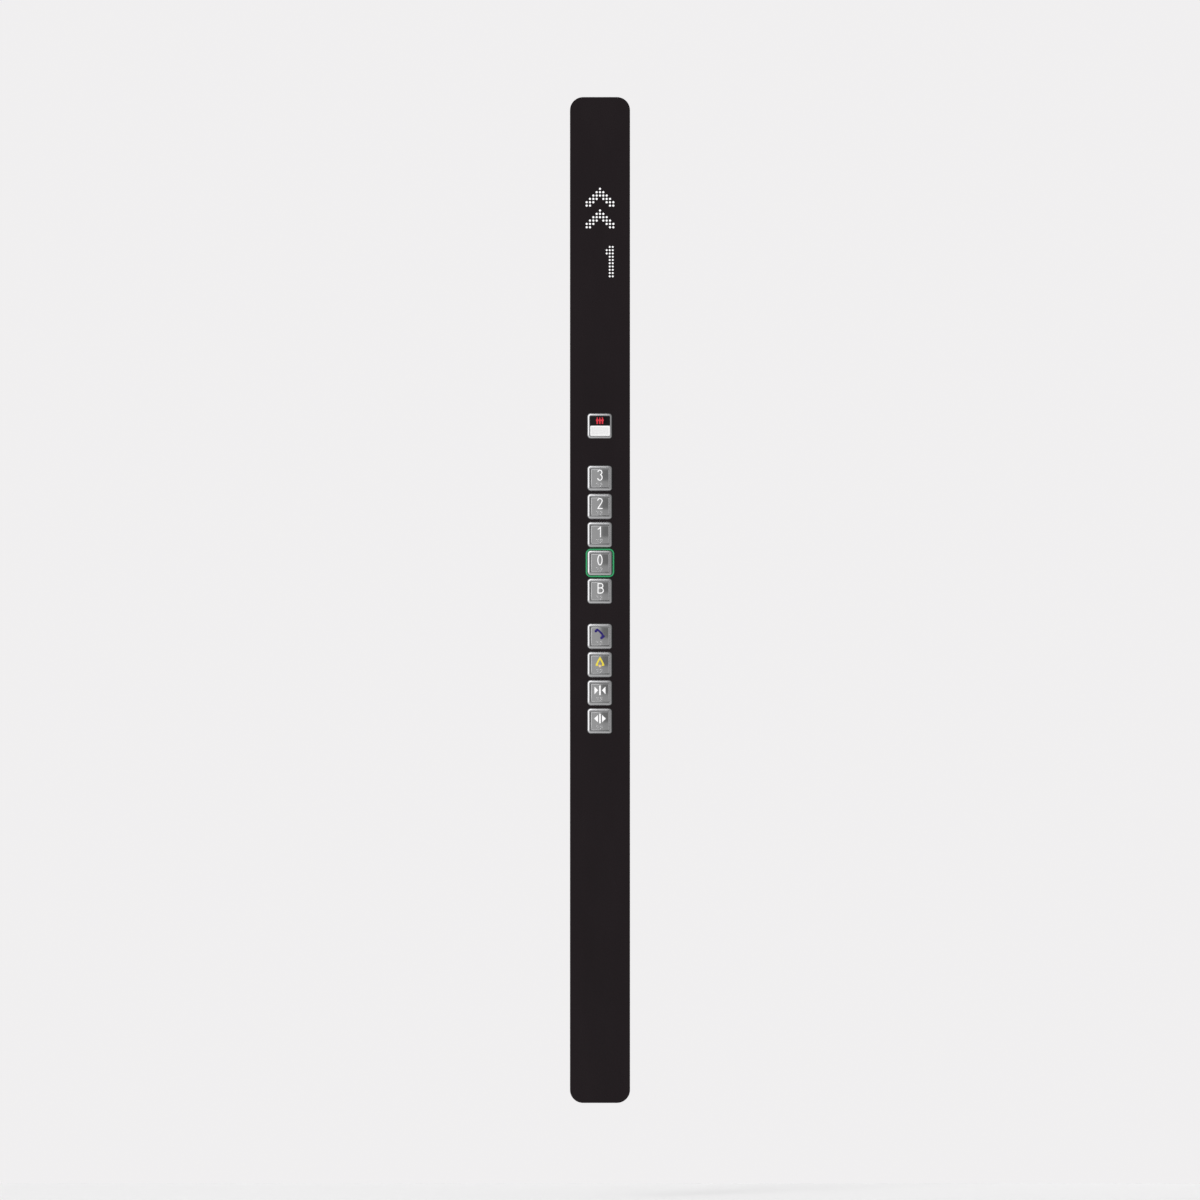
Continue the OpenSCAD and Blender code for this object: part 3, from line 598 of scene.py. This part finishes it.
# How far the eased edge draws in, and how far it lies below the crown there
CAP_EDGE = ((0, 0.16), (0.03, 0.05), (0.09, 0.0))
CAP_SIDE = 0.05
# Widths of the rings that carry the crown inwards
FIELD = (23.4, 21.0, 18.0, 15.0, 12.0, 9.0, 6.0, 3.2, 0.8)


def cap_surface(z0):
    return lambda x, z: CAP_TOP - CROWN * (x * x + (z - z0) ** 2)


def cap_edge(drop):
    """The crown lowered by drop, with at least CAP_SIDE left above the cap's back."""
    crown = cap_surface(0)
    return lambda x, z: max(crown(x, z) - drop, CAP_BACK + CAP_SIDE)


for label, z0 in zip(LABELS, BUTTON_Z):
    rings = [lifted(outline(CAP_W, CAP_W, CAP_R, *CAP_MESH), CAP_BACK, 0, z0)]
    for inset, drop in CAP_EDGE:
        w = CAP_W - 2 * inset
        rings.append(lifted(outline(w, w, CAP_R - inset * 0.6, *CAP_MESH), cap_edge(drop), 0, z0))
    for w in FIELD:
        rings.append(lifted(outline(w, w, min(FIELD_R, w / 8), *CAP_MESH), cap_surface(0), 0, z0))
    bm = bmesh.new()
    loft(bm, rings)
    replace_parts(place("cap_face_" + label, bm, "button_" + label, "cap_steel", sharp=40), "cap_" + label)


# Return springs

# From the seat in the housing to the back of the plunger, with SLACK left at both ends
SEAT, TOP, SLACK, TRAVEL = 16.4, 31.5, 0.05, 1.5
TURNS, SPRING_R, WIRE_R = 5, 6.0, 0.4


def coil(bm, radius, wire, z0):
    """A round wire wound into a compression spring, with a closed turn at each end."""
    steps, sides = 20, 8
    first, last, closed = SEAT + wire + SLACK, TOP - wire - SLACK, 2 * wire
    rings = []
    for i in range(TURNS * steps + 1):
        turn = i / steps
        if turn < 1:
            h = first + closed * turn
        elif turn > TURNS - 1:
            h = last - closed * (TURNS - turn)
        else:
            h = first + closed + (last - first - 2 * closed) * (turn - 1) / (TURNS - 2)
        c, s = math.cos(math.tau * turn), math.sin(math.tau * turn)
        ring = []
        for j in range(sides):
            b = math.tau * j / sides
            r = radius + wire * math.cos(b)
            ring.append((r * c, h + wire * math.sin(b), z0 + r * s))
        rings.append(ring)
    loft(bm, rings)


for label, z0 in zip(LABELS, BUTTON_Z):
    bm = bmesh.new()
    coil(bm, SPRING_R, WIRE_R, z0)
    piece = place("return_spring_" + label, bm, "front", "spring_steel", sharp=60)
    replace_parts(piece, "spring_" + label)
    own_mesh(piece)


# Legends

RISE, RISE_STEP = 0.36, 0.004
DIGIT = 0.7
# The paths of the strokes of each legend, about the middle of its cap, with half their width
DOOR = [([(0, 9.6), (0, 6.0), (0, 2.0), (0, -2.4)], 1.05)]
LEGENDS = {
    "3": [(arc(-0.2, 8.25, 2.9, 3.2, 158, -68, 24) + arc(-0.2, 1.1, 3.2, 3.9, 68, -158, 30), DIGIT)],
    "2": [
        (arc(-0.1, 8.0, 3.15, 3.25, 168, -28, 16) + [(1.2, 3.6), (-0.9, 0.6), (-3.1, -2.8)], DIGIT),
        ([(-3.1, -2.85), (0.0, -2.85), (3.2, -2.85)], DIGIT),
    ],
    "1": [
        ([(0.7, 10.9), (0.7, 6.0), (0.7, 1.5), (0.7, -2.9)], DIGIT),
        ([(0.7, 10.7), (-0.8, 9.1), (-2.7, 7.8)], DIGIT),
    ],
    "0": [(arc(-0.05, 4.15, 2.98, 7.0, 90, 450, 56)[:-1], DIGIT)],
    "b": [
        ([(-2.8, 10.8), (-2.8, 7.5), (-2.8, 4.55), (-2.8, 1.0), (-2.8, -2.7)], DIGIT),
        ([(-2.8, 10.8), (0.6, 10.8)] + arc(1.1, 7.7, 3.0, 3.1, 90, -90, 12)
         + [(0.6, 4.6), (-2.8, 4.6)], DIGIT),
        ([(0.6, 4.6)] + arc(1.2, 0.95, 3.5, 3.65, 90, -90, 12) + [(0.6, -2.7), (-2.8, -2.7)], DIGIT),
    ],
    "call": [
        ([(-3.8, 9.3), (-2.2, 8.4), (-0.6, 6.95), (0.9, 5.5),
          (2.3, 4.0), (3.3, 2.6), (3.8, 1.2), (4.1, -0.2)], 1.4),
        ([(-6.0, 7.3), (-5.0, 8.3), (-3.9, 9.3)], 1.85),
        ([(4.9, 0.0), (3.6, -1.0), (2.1, -2.2)], 1.9),
    ],
    "alarm": [
        ([(-5.1, -0.6), (-3.4, 3.0), (-1.5, 6.7), (0.0, 9.2), (1.5, 6.7), (3.4, 3.0), (5.1, -0.6)], 1.2),
        ([(-5.1, -0.7), (-3.4, -0.8)], 1.15),
        ([(5.1, -0.7), (3.4, -0.8)], 1.15),
    ],
    "close": DOOR,
    "open": DOOR,
}
# The corners of the arrowheads beside the line between the doors
ARROWHEADS = {
    "close": [[(-7.8, 8.9), (-2.7, 3.6), (-7.8, -2.0)], [(7.8, 8.9), (7.8, -2.0), (2.7, 3.6)]],
    "open": [[(-2.9, 8.7), (-8.3, 3.5), (-2.9, -1.8)], [(2.9, 8.7), (2.9, -1.8), (8.3, 3.5)]],
}
LEGEND_SLOTS = {"call": "legend_blue", "alarm": "legend_yellow"}
CLAPPER_Z, CLAPPER_R, CLAPPER_RISE = -2.0, 1.9, 0.46

for label, z0 in zip(LABELS, BUTTON_Z):
    surface = cap_surface(z0)
    bm = bmesh.new()
    # Each stroke is a hair higher than the one before, so that their tops share no plane
    for i, (path, half) in enumerate(LEGENDS[label]):
        stroke(bm, path, half, RISE + RISE_STEP * i, surface, z0, closed=label == "0")
    for corners in ARROWHEADS.get(label, []):
        slab(bm, corners, RISE, surface, z0)
    place("legend_" + label, bm, "button_" + label, LEGEND_SLOTS.get(label, "legend_white"))
    if label == "alarm":
        bm = bmesh.new()
        dome(bm, 0, z0 + CLAPPER_Z, surface(0, z0 + CLAPPER_Z), CLAPPER_R, CLAPPER_RISE, n=24)
        place("legend_clapper", bm, "button_alarm", "legend_yellow", ORANGE)


# Braille

# Two cells under each legend. The photo shows the same marks on every button
BRAILLE = ((1, 4, 5), (1, 3, 4, 5))
CELL_X, CELL_STEP = -4.7, 5.6
DOT_Z, DOT_DX, DOT_DZ = -7.3, 2.0, 1.95
DOT_R, DOT_RISE = 0.8, 0.48

for label, z0 in zip(LABELS, BUTTON_Z):
    surface = cap_surface(z0)
    bm = bmesh.new()
    for c, dots in enumerate(BRAILLE):
        for dot in dots:
            x = CELL_X + CELL_STEP * c + (DOT_DX if dot > 3 else 0)
            z = z0 + DOT_Z - DOT_DZ * ((dot - 1) % 3)
            dome(bm, x, z, surface(x, z), DOT_R, DOT_RISE, n=14)
    place("braille_" + label, bm, "button_" + label, "cap_steel", DOT)


# Panes of the indicator

PANE_FRONT = front_of("indicator_window")
PANE_T, PANE_R, PANE_MESH = 3.0, 1.3, (6, 2)
# How far the eased edge of a pane draws in and how far it drops
PANE_EDGE = ((0, 0.35), (0.15, 0.08), (0.4, 0.0))
# The lens has a raised border, which glows more than the rest of the lens: a painted highlight. Inside it
# the lens lies lower
BORDER_W, BORDER_T, BORDER_R = 1.5, 2.0, 0.7
SLOPE, SUNKEN = 0.3, 0.3
# The back of the lens draws in under the border, up to NECK_DROP from the front
NECK, NECK_R, NECK_DROP = 0.5, 1.0, 0.5


def pane_ring(node, inset, drop, r):
    w, h = size_of(node)
    ring = outline(w - 2 * inset, h - 2 * inset, r, *PANE_MESH)
    return lifted(ring, PANE_FRONT - drop, 0, middle_of(node))


def pane_edge(node):
    return [pane_ring(node, inset, drop, PANE_R - inset) for inset, drop in PANE_EDGE]


bm = bmesh.new()
loft(bm, [pane_ring("indicator_window", 0, PANE_T, PANE_R)] + pane_edge("indicator_window"))
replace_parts(place("window_pane", bm, "front", "window_dark", sharp=40), "indicator_window")

bm = bmesh.new()
border = pane_edge("indicator_lens")
for inset, drop in ((BORDER_W, 0.0), (BORDER_W + SLOPE, SUNKEN), (BORDER_W, BORDER_T)):
    border.append(pane_ring("indicator_lens", inset, drop, BORDER_R))
loft(bm, border, closed=True)
place("lens_pane_border", bm, "front", "lens_white", BORDER, sharp=40)

bm = bmesh.new()
loft(bm, [
    pane_ring("indicator_lens", NECK, PANE_T, NECK_R),
    pane_ring("indicator_lens", NECK, NECK_DROP, NECK_R),
    pane_ring("indicator_lens", BORDER_W + SLOPE, SUNKEN, BORDER_R),
    pane_ring("indicator_lens", BORDER_W * 2, SUNKEN, BORDER_R),
])
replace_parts(place("lens_pane", bm, "front", "lens_white", sharp=40), "indicator_lens")


# Figures of the indicator

FIGURES_X = (-3.9, -0.2, 3.5)
# Legs and arms lie a hair lower than the body, so that their tops share no plane
BODY_RISE, LEG_RISE, ARM_RISE = 0.12, 0.11, 0.1


def pane_front(x, z):
    return PANE_FRONT


def figure(bm, x):
    """A standing figure on the dark pane: head, body, two legs and two arms."""
    head_z, head_r, body_half, leg_half, arm_half = 11.1, 0.95, 1.3, 0.5, 0.34
    z0 = INDICATOR_Z
    dome(bm, x, z0 + head_z, PANE_FRONT, head_r, BODY_RISE, n=18, rings=3)
    stroke(bm, [(x, 8.8), (x, 8.0), (x, 7.0)], body_half, BODY_RISE, pane_front, z0)
    for side in (-1, 1):
        hip, shoulder, hand = x + side * 0.5, x + side * 1.2, x + side * 1.4
        stroke(bm, [(hip, 6.4), (hip, 4.8), (hip, 3.3)], leg_half, LEG_RISE, pane_front, z0)
        stroke(bm, [(shoulder, 9.3), (hand, 8.3), (hand, 7.2)], arm_half, ARM_RISE, pane_front, z0)


bm = bmesh.new()
for x in FIGURES_X:
    figure(bm, x)
place("indicator_figures", bm, "front", "legend_red")


# Light of the displays

# The lit columns of each row of an arrow, from its tip down
ARROW = [[0], [-1, 0, 1], [-2, -1, 0, 1, 2], [-3, -2, -1, 1, 2, 3], [-4, -3, -2, 2, 3, 4], [-4, -3, 3, 4]]
ARROW_DX, ARROW_DZ, ARROW_DOT = 4.72, 4.75, 1.5
ARROW_TIPS = (TOP_EDGE - 130.0, TOP_EDGE - 160.7)
# The number lights the right one of two blocks of three columns
NUMBER_ROWS, NUMBER_DX, NUMBER_DZ, NUMBER_DOT = 10, 4.27, 4.63, 1.32
NUMBER_X, NUMBER_TOP = 13.76, TOP_EDGE - 212.3
FLAG_ROWS = (1, 2)
LIGHT_RISE = 0.06


def arrow_dots():
    for tip in ARROW_TIPS:
        for row, columns in enumerate(ARROW):
            for c in columns:
                yield c * ARROW_DX, tip - row * ARROW_DZ


bm = bmesh.new()
for x, z in arrow_dots():
    dome(bm, x, z, FACE, ARROW_DOT, LIGHT_RISE, n=20, rings=3)
place("arrow_lights", bm, "front", "led_white")

bm = bmesh.new()
for row in range(NUMBER_ROWS):
    z = NUMBER_TOP - row * NUMBER_DZ
    for c in ([-1, 0, 1] if row in FLAG_ROWS else [0, 1]):
        dome(bm, NUMBER_X + c * NUMBER_DX, z, FACE, NUMBER_DOT, LIGHT_RISE, n=20, rings=3)
place("number_lights", bm, "front", "led_white")


# Screws of the controller board, which show when the front is open

HEAD_R, HEAD_RISE = 2.6, 1.7
# Shares of the head's radius and rise, from its rim up and down into its recess
HEAD = ((1.0, 0.35), (0.93, 0.7), (0.78, 0.9), (0.55, 1.0), (0.46, 1.0), (0.44, 0.45), (0.05, 0.4))
SCREW_DX, SCREW_DZ = 24, 110


def board_screw(bm, x, z):
    """Button-head screw with a recess, pointing towards the wall."""
    rows = [lifted(circle(HEAD_R, 24), CONTROLLER + 0.1, x, z)]
    for k, d in HEAD:
        rows.append(lifted(circle(HEAD_R * k, 24), CONTROLLER - HEAD_RISE * d, x, z))
    loft(bm, rows)


bm = bmesh.new()
for x in (-SCREW_DX, SCREW_DX):
    for dz in (-SCREW_DZ, 0, SCREW_DZ):
        board_screw(bm, x, CONTROLLER_Z + dz)
place("board_screws", bm, "front", "lock_steel")


# Solder joints behind the light blocks and the switches

ARROW_PIN, NUMBER_PIN = 1.27, 1.1
SWITCH_PIN_X, SWITCH_PIN_Z = 2.8, 2.25


def solder(bm, x, z, board, r, rise, n=8):
    dome(bm, x, z, board, r, rise, n, rings=2, out=-1)


bm = bmesh.new()
for x, z in arrow_dots():
    for dx in (-ARROW_PIN, ARROW_PIN):
        solder(bm, x + dx, z, DISPLAY_BOARD, r=0.6, rise=0.7)
for row in range(NUMBER_ROWS):
    z = NUMBER_TOP - row * NUMBER_DZ
    for c in (-1, 0, 1):
        for middle in (-NUMBER_X, NUMBER_X):
            for dx in (-NUMBER_PIN, NUMBER_PIN):
                solder(bm, middle + c * NUMBER_DX + dx, z, DISPLAY_BOARD, r=0.55, rise=0.7)
for z in BUTTON_Z:
    for x in (-SWITCH_PIN_X, SWITCH_PIN_X):
        for dz in (-SWITCH_PIN_Z, SWITCH_PIN_Z):
            solder(bm, x, z + dz, BUTTON_BOARD, r=0.75, rise=0.9, n=10)
place("solder_joints", bm, "front", "lock_steel", SOLDER)


# Small surface parts, each a dark body with tinned ends or legs beside it

SMALL = {"w": 1.25, "length": 1.6, "rise": 0.55, "reach": 1.0, "end": 0.45}
LARGE = {"w": 1.6, "length": 2.2, "rise": 0.6, "reach": 1.3, "end": 0.5}
PROUD, CHIP_EDGE = 0.05, 0.1
PIN_RISE, PIN_EDGE = 0.5, 0.08
# x of each resistor beside a switch, and how far above the switch's middle it is
SWITCH_RESISTORS = ((-12.5, -4.5), (-9.5, 4.5), (9.5, -4.5), (12.5, 4.5))
# x, z, width, length and board of each driver chip
DRIVERS = [
    (11.5, 152.5, 5.0, 6.2, BUTTON_BOARD),
    (11.5, 72.5, 5.0, 6.2, BUTTON_BOARD),
    (11.5, -71.5, 5.0, 6.2, BUTTON_BOARD),
    (0.0, 523.8, 4.0, 5.0, DISPLAY_BOARD),
]
# The processor stands a twelfth of the board's height above its middle
PROCESSOR_Z = CONTROLLER_Z + size_of("controller_board")[1] / 12
PROCESSOR_REACH, PROCESSOR_PITCH = 7.6, 1.1
# Heights above the controller board's middle, and x, of its rows and columns of resistors
ROWS, COLUMNS = (33, 37, 41, -35, -39, -43, -70, -74, -78), (-20, -12, -4, 4, 12, 20)

bodies = bmesh.new()
ends = bmesh.new()


def resistor(x, z, board, w, length, rise, reach, end):
    """A chip that lies along z. Its tinned ends stand slightly proud of its body."""
    block(bodies, x, z, w, length, board, board - rise, CHIP_EDGE)
    for side in (1, -1):
        block(ends, x, z + side * reach, w, end, board, board - rise - PROUD, PIN_EDGE)


def driver(x, z, w, length, board):
    """A chip with four legs on each of two sides."""
    clear, top, pitch, leg_l, leg_w = 0.15, 1.6, 1.27, 1.1, 0.42
    block(bodies, x, z, w, length, board - clear, board - top, 0.2)
    for i in range(4):
        for side in (-1, 1):
            leg_x, leg_z = x + side * (w / 2 + leg_l / 2), z + (i - 1.5) * pitch
            block(ends, leg_x, leg_z, leg_l, leg_w, board, board - PIN_RISE, PIN_EDGE)


def processor_legs():
    """Eleven legs on each of four sides. Its body is a CAD solid."""
    leg_l, leg_w, top = 1.2, 0.4, CONTROLLER - PIN_RISE
    for i in range(11):
        along = (i - 5) * PROCESSOR_PITCH
        for side in (-1, 1):
            out = side * PROCESSOR_REACH
            block(ends, out, PROCESSOR_Z + along, leg_l, leg_w, CONTROLLER, top, PIN_EDGE)
            block(ends, along, PROCESSOR_Z + out, leg_w, leg_l, CONTROLLER, top, PIN_EDGE)


for z in BUTTON_Z:
    for x, dz in SWITCH_RESISTORS:
        resistor(x, z + dz, BUTTON_BOARD, **SMALL)
for chip in DRIVERS:
    driver(*chip)
processor_legs()
for dz in ROWS:
    for x in COLUMNS:
        resistor(x, CONTROLLER_Z + dz, CONTROLLER, **LARGE)
place("surface_parts", bodies, "front", "switch_black")
place("surface_part_ends", ends, "front", "lock_steel", SOLDER)


# Flat cables of ten ribbed conductors, the first one marked

# The z and the board of the upper and the lower connector of each run
RUNS = [
    ((526.9, DISPLAY_BOARD), (501.15, DISPLAY_BOARD)),
    ((457.58, DISPLAY_BOARD), (258.0, BUTTON_BOARD)),
    ((1.0, BUTTON_BOARD), (-40.0, BUTTON_BOARD)),
    ((-183.0, BUTTON_BOARD), (-278.0, CONTROLLER)),
]
RIBS, RIB_STEPS = 10, 4
RIBBON_W = size_of("ribbon_cables")[0]
# Half the thickness between two ribs, and how much more it is on a rib
WEB, BULGE = 0.22, 0.28
# How far the cable lies from a board, how far past a connector's middle it ends, and how far
# from there it starts to bend
STAND_OFF, PLUG_HALF, STRAIGHT = 6.5, 3.5, 5.5


def ribbon(bm, upper, lower, first, last):
    """A run of cable, from one of its ribs to another."""
    across = []
    for k in range(first * RIB_STEPS, last * RIB_STEPS + 1):
        x = -RIBBON_W / 2 + RIBBON_W / (RIBS * RIB_STEPS) * k
        across.append((x, WEB + BULGE * math.sin(math.pi * (k % RIB_STEPS) / RIB_STEPS)))
    (z1, h1), (z2, h2) = upper, lower
    rings = []
    for z, board in ((z1 + PLUG_HALF, h1), (z1 - STRAIGHT, h1), (z2 + STRAIGHT, h2), (z2 - PLUG_HALF, h2)):
        h = board - STAND_OFF
        rings.append([(x, h + d, z) for x, d in across] + [(x, h - d, z) for x, d in reversed(across)])
    loft(bm, rings)


sheaths = bmesh.new()
marked = bmesh.new()
for upper, lower in RUNS:
    ribbon(sheaths, upper, lower, 1, RIBS)
    ribbon(marked, upper, lower, 0, 1)
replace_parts(place("ribbon_sheaths", sheaths, "front", "ribbon_grey", sharp=70), "ribbon_cables")
place("ribbon_marks", marked, "front", "ribbon_grey", STRIPE, sharp=70)


# Terminal screws in their wells, each a head with a bar across it

POLES = 8
TERMINAL_W = size_of("terminal_block")[0]
# The wells lie 2 mm above the middle of the block
TERMINAL_Z = middle_of("terminal_block") + 2
# The head's radius at each h, and the bar's size and the h of its two ends
TERMINAL_HEAD = ((1.5, 8.4), (1.5, 7.6), (1.2, 7.2))
BAR_L, BAR_W, BAR_R, BAR_ENDS = 2.6, 0.5, 0.1, (7.25, 7.05)

bm = bmesh.new()
for i in range(POLES):
    x = -TERMINAL_W / 2 + (i + 0.5) * (TERMINAL_W / POLES)
    loft(bm, [lifted(circle(r, 16), h, x, TERMINAL_Z) for r, h in TERMINAL_HEAD])
    loft(bm, [lifted(outline(BAR_L, BAR_W, BAR_R, 3), h, x, TERMINAL_Z) for h in BAR_ENDS])
place("terminal_screws", bm, "front", "lock_steel")


# A pale floor under the hanging panel, in metres

FLOOR_Z, FLOOR_NEAR, FLOOR_FAR, FLOOR_HALF = -0.85, -0.25, 0.5, 4
FLOOR_CORNERS = [
    (-FLOOR_HALF, FLOOR_NEAR, FLOOR_Z), (FLOOR_HALF, FLOOR_NEAR, FLOOR_Z),
    (FLOOR_HALF, FLOOR_FAR, FLOOR_Z), (-FLOOR_HALF, FLOOR_FAR, FLOOR_Z),
]
floor_mesh = bpy.data.meshes.new("floor")
floor_mesh.from_pydata(FLOOR_CORNERS, [], [(0, 1, 2, 3)])
paint = plastic("floor_paint", (0.82, 0.82, 0.82), 0.7, vary=0.01, grain=400, relief=0.00005, specular=0.2)
floor_mesh.materials.append(paint)
floor = bpy.data.objects.new("floor", floor_mesh)
SCENE.collection.objects.link(floor)
# The rims would mirror it as a glint
floor.visible_glossy = False


# The room, worked out from the direction of a ray

world = bpy.data.worlds.new("studio")
SCENE.world = world
world.use_nodes = True
sky = world.node_tree
sky.nodes.clear()
direction = sky.nodes.new("ShaderNodeTexCoord")
parts = sky.nodes.new("ShaderNodeSeparateXYZ")
sky.links.new(direction.outputs["Generated"], parts.inputs[0])
X, Y, Z = parts.outputs["X"], parts.outputs["Y"], parts.outputs["Z"]


def after(value, start, end):
    """0 up to start, rising smoothly to 1 at end."""
    ramp = sky.nodes.new("ShaderNodeMapRange")
    ramp.interpolation_type = "SMOOTHSTEP"
    ramp.inputs["From Min"].default_value = start
    ramp.inputs["From Max"].default_value = end
    sky.links.new(value, ramp.inputs["Value"])
    return ramp.outputs[0]


def maths(kind, a, b):
    node = sky.nodes.new("ShaderNodeMath")
    node.operation = kind
    for value, socket in zip((a, b), node.inputs):
        if isinstance(value, float):
            socket.default_value = value
        else:
            sky.links.new(value, socket)
    return node.outputs[0]


def times(a, b):
    return maths("MULTIPLY", a, b)


def before(value, start, end):
    """1 up to start, falling smoothly to 0 at end."""
    return maths("SUBTRACT", 1.0, after(value, start, end))


def dimmed(value, region, amount):
    """The value, less that share of it where the region is 1."""
    return times(value, maths("SUBTRACT", 1.0, times(region, amount)))


# What polished metal shows: a grey room with a pale floor, a large soft light on the left that
# is dimmer below eye level, one above it, and a dark screen just right of the camera and above
# it. The room's right side and what lies to the sides of the panel are dim. The numbers after
# X, Y or Z are where a soft edge starts and ends, on a ray of length 1
ROOM, LEFT, ABOVE, BELOW, SCREEN = 0.50, 1.85, 2.05, 0.77, 0.21
# The share that is taken off low down on the left, on the right and at the sides
LOW_LEFT, RIGHT_HALF, SIDES = 0.48, 0.18, 0.75
left = dimmed(before(X, -0.40, -0.24), before(Z, -0.17, -0.06), LOW_LEFT)
above = times(after(Z, 0.24, 0.44), before(X, -0.03, 0.02))
screen = times(
    times(after(X, 0.0, 0.03), after(Z, -0.034, -0.022)),
    times(before(X, 0.18, 0.3), before(Z, 0.18, 0.3)),
)
beside = times(after(Y, -0.60, -0.28), before(Y, 0.6, 0.9))
level = maths("ADD", ROOM, times(before(Z, -0.44, -0.24), BELOW - ROOM))
level = dimmed(level, after(X, 0.005, 0.045), RIGHT_HALF)
level = maths("ADD", level, times(screen, SCREEN - (1 - RIGHT_HALF) * ROOM))
level = maths("MAXIMUM", level, maths("MAXIMUM", times(left, LEFT), times(above, ABOVE)))
level = dimmed(level, after(X, 0.35, 0.95), SIDES)
level = dimmed(level, beside, SIDES)


def background(colour, strength=1.0):
    node = sky.nodes.new("ShaderNodeBackground")
    node.inputs["Color"].default_value = (*colour, 1)
    node.inputs["Strength"].default_value = strength
    return node


def choose(share, a, b):
    """Background a, but b for the rays that share is 1 for."""
    node = sky.nodes.new("ShaderNodeMixShader")
    for value, socket in zip((share, a, b), node.inputs):
        sky.links.new(value, socket)
    return node.outputs[0]


# Mirror rays see that room, diffuse rays plain soft light, and the camera a pale backdrop
rays = sky.nodes.new("ShaderNodeLightPath")
room = background((1, 1, 1))
sky.links.new(level, room.inputs["Strength"])
soft = background((0.87, 0.865, 0.87), 0.92)
backdrop = background((0.875, 0.865, 0.87))
lighting = choose(rays.outputs["Is Diffuse Ray"], room.outputs[0], soft.outputs[0])
seen = choose(rays.outputs["Is Camera Ray"], lighting, backdrop.outputs[0])
sky.links.new(seen, sky.nodes.new("ShaderNodeOutputWorld").inputs[0])


# Lamps

LAMP_SIZE = 1.6


def lamp(name, at, power):
    """A square lamp that faces the middle of the panel. Polished metal doesn't mirror it."""
    data = bpy.data.lights.new(name, "AREA")
    data.shape = "SQUARE"
    data.size = LAMP_SIZE
    data.energy = power
    light = bpy.data.objects.new(name, data)
    light.location = at
    light.rotation_euler = (-Vector(at)).to_track_quat("-Z", "Y").to_euler()
    light.visible_glossy = False
    SCENE.collection.objects.link(light)


lamp("key", (-2.2, -3.0, 2.4), 42)
lamp("rear", (1.5, 3.0, 1.6), 40)


# Camera, straight in front of the face and far off

# The lens and the sensor in mm, and how many metres of the face the picture takes in
LENS, SENSOR, WIDE = 400.0, 36.0, 1.70
camera = bpy.data.cameras.new("camera")
camera.lens = LENS
camera.sensor_width = SENSOR
camera.clip_end = 200.0
view = bpy.data.objects.new("camera", camera)
view.location = (0.0, -(WIDE * LENS / SENSOR) - FACE * MM, 0.0)
view.rotation_euler = (math.radians(90), 0, 0)
SCENE.collection.objects.link(view)
SCENE.camera = view
SCENE.view_settings.view_transform = "Standard"
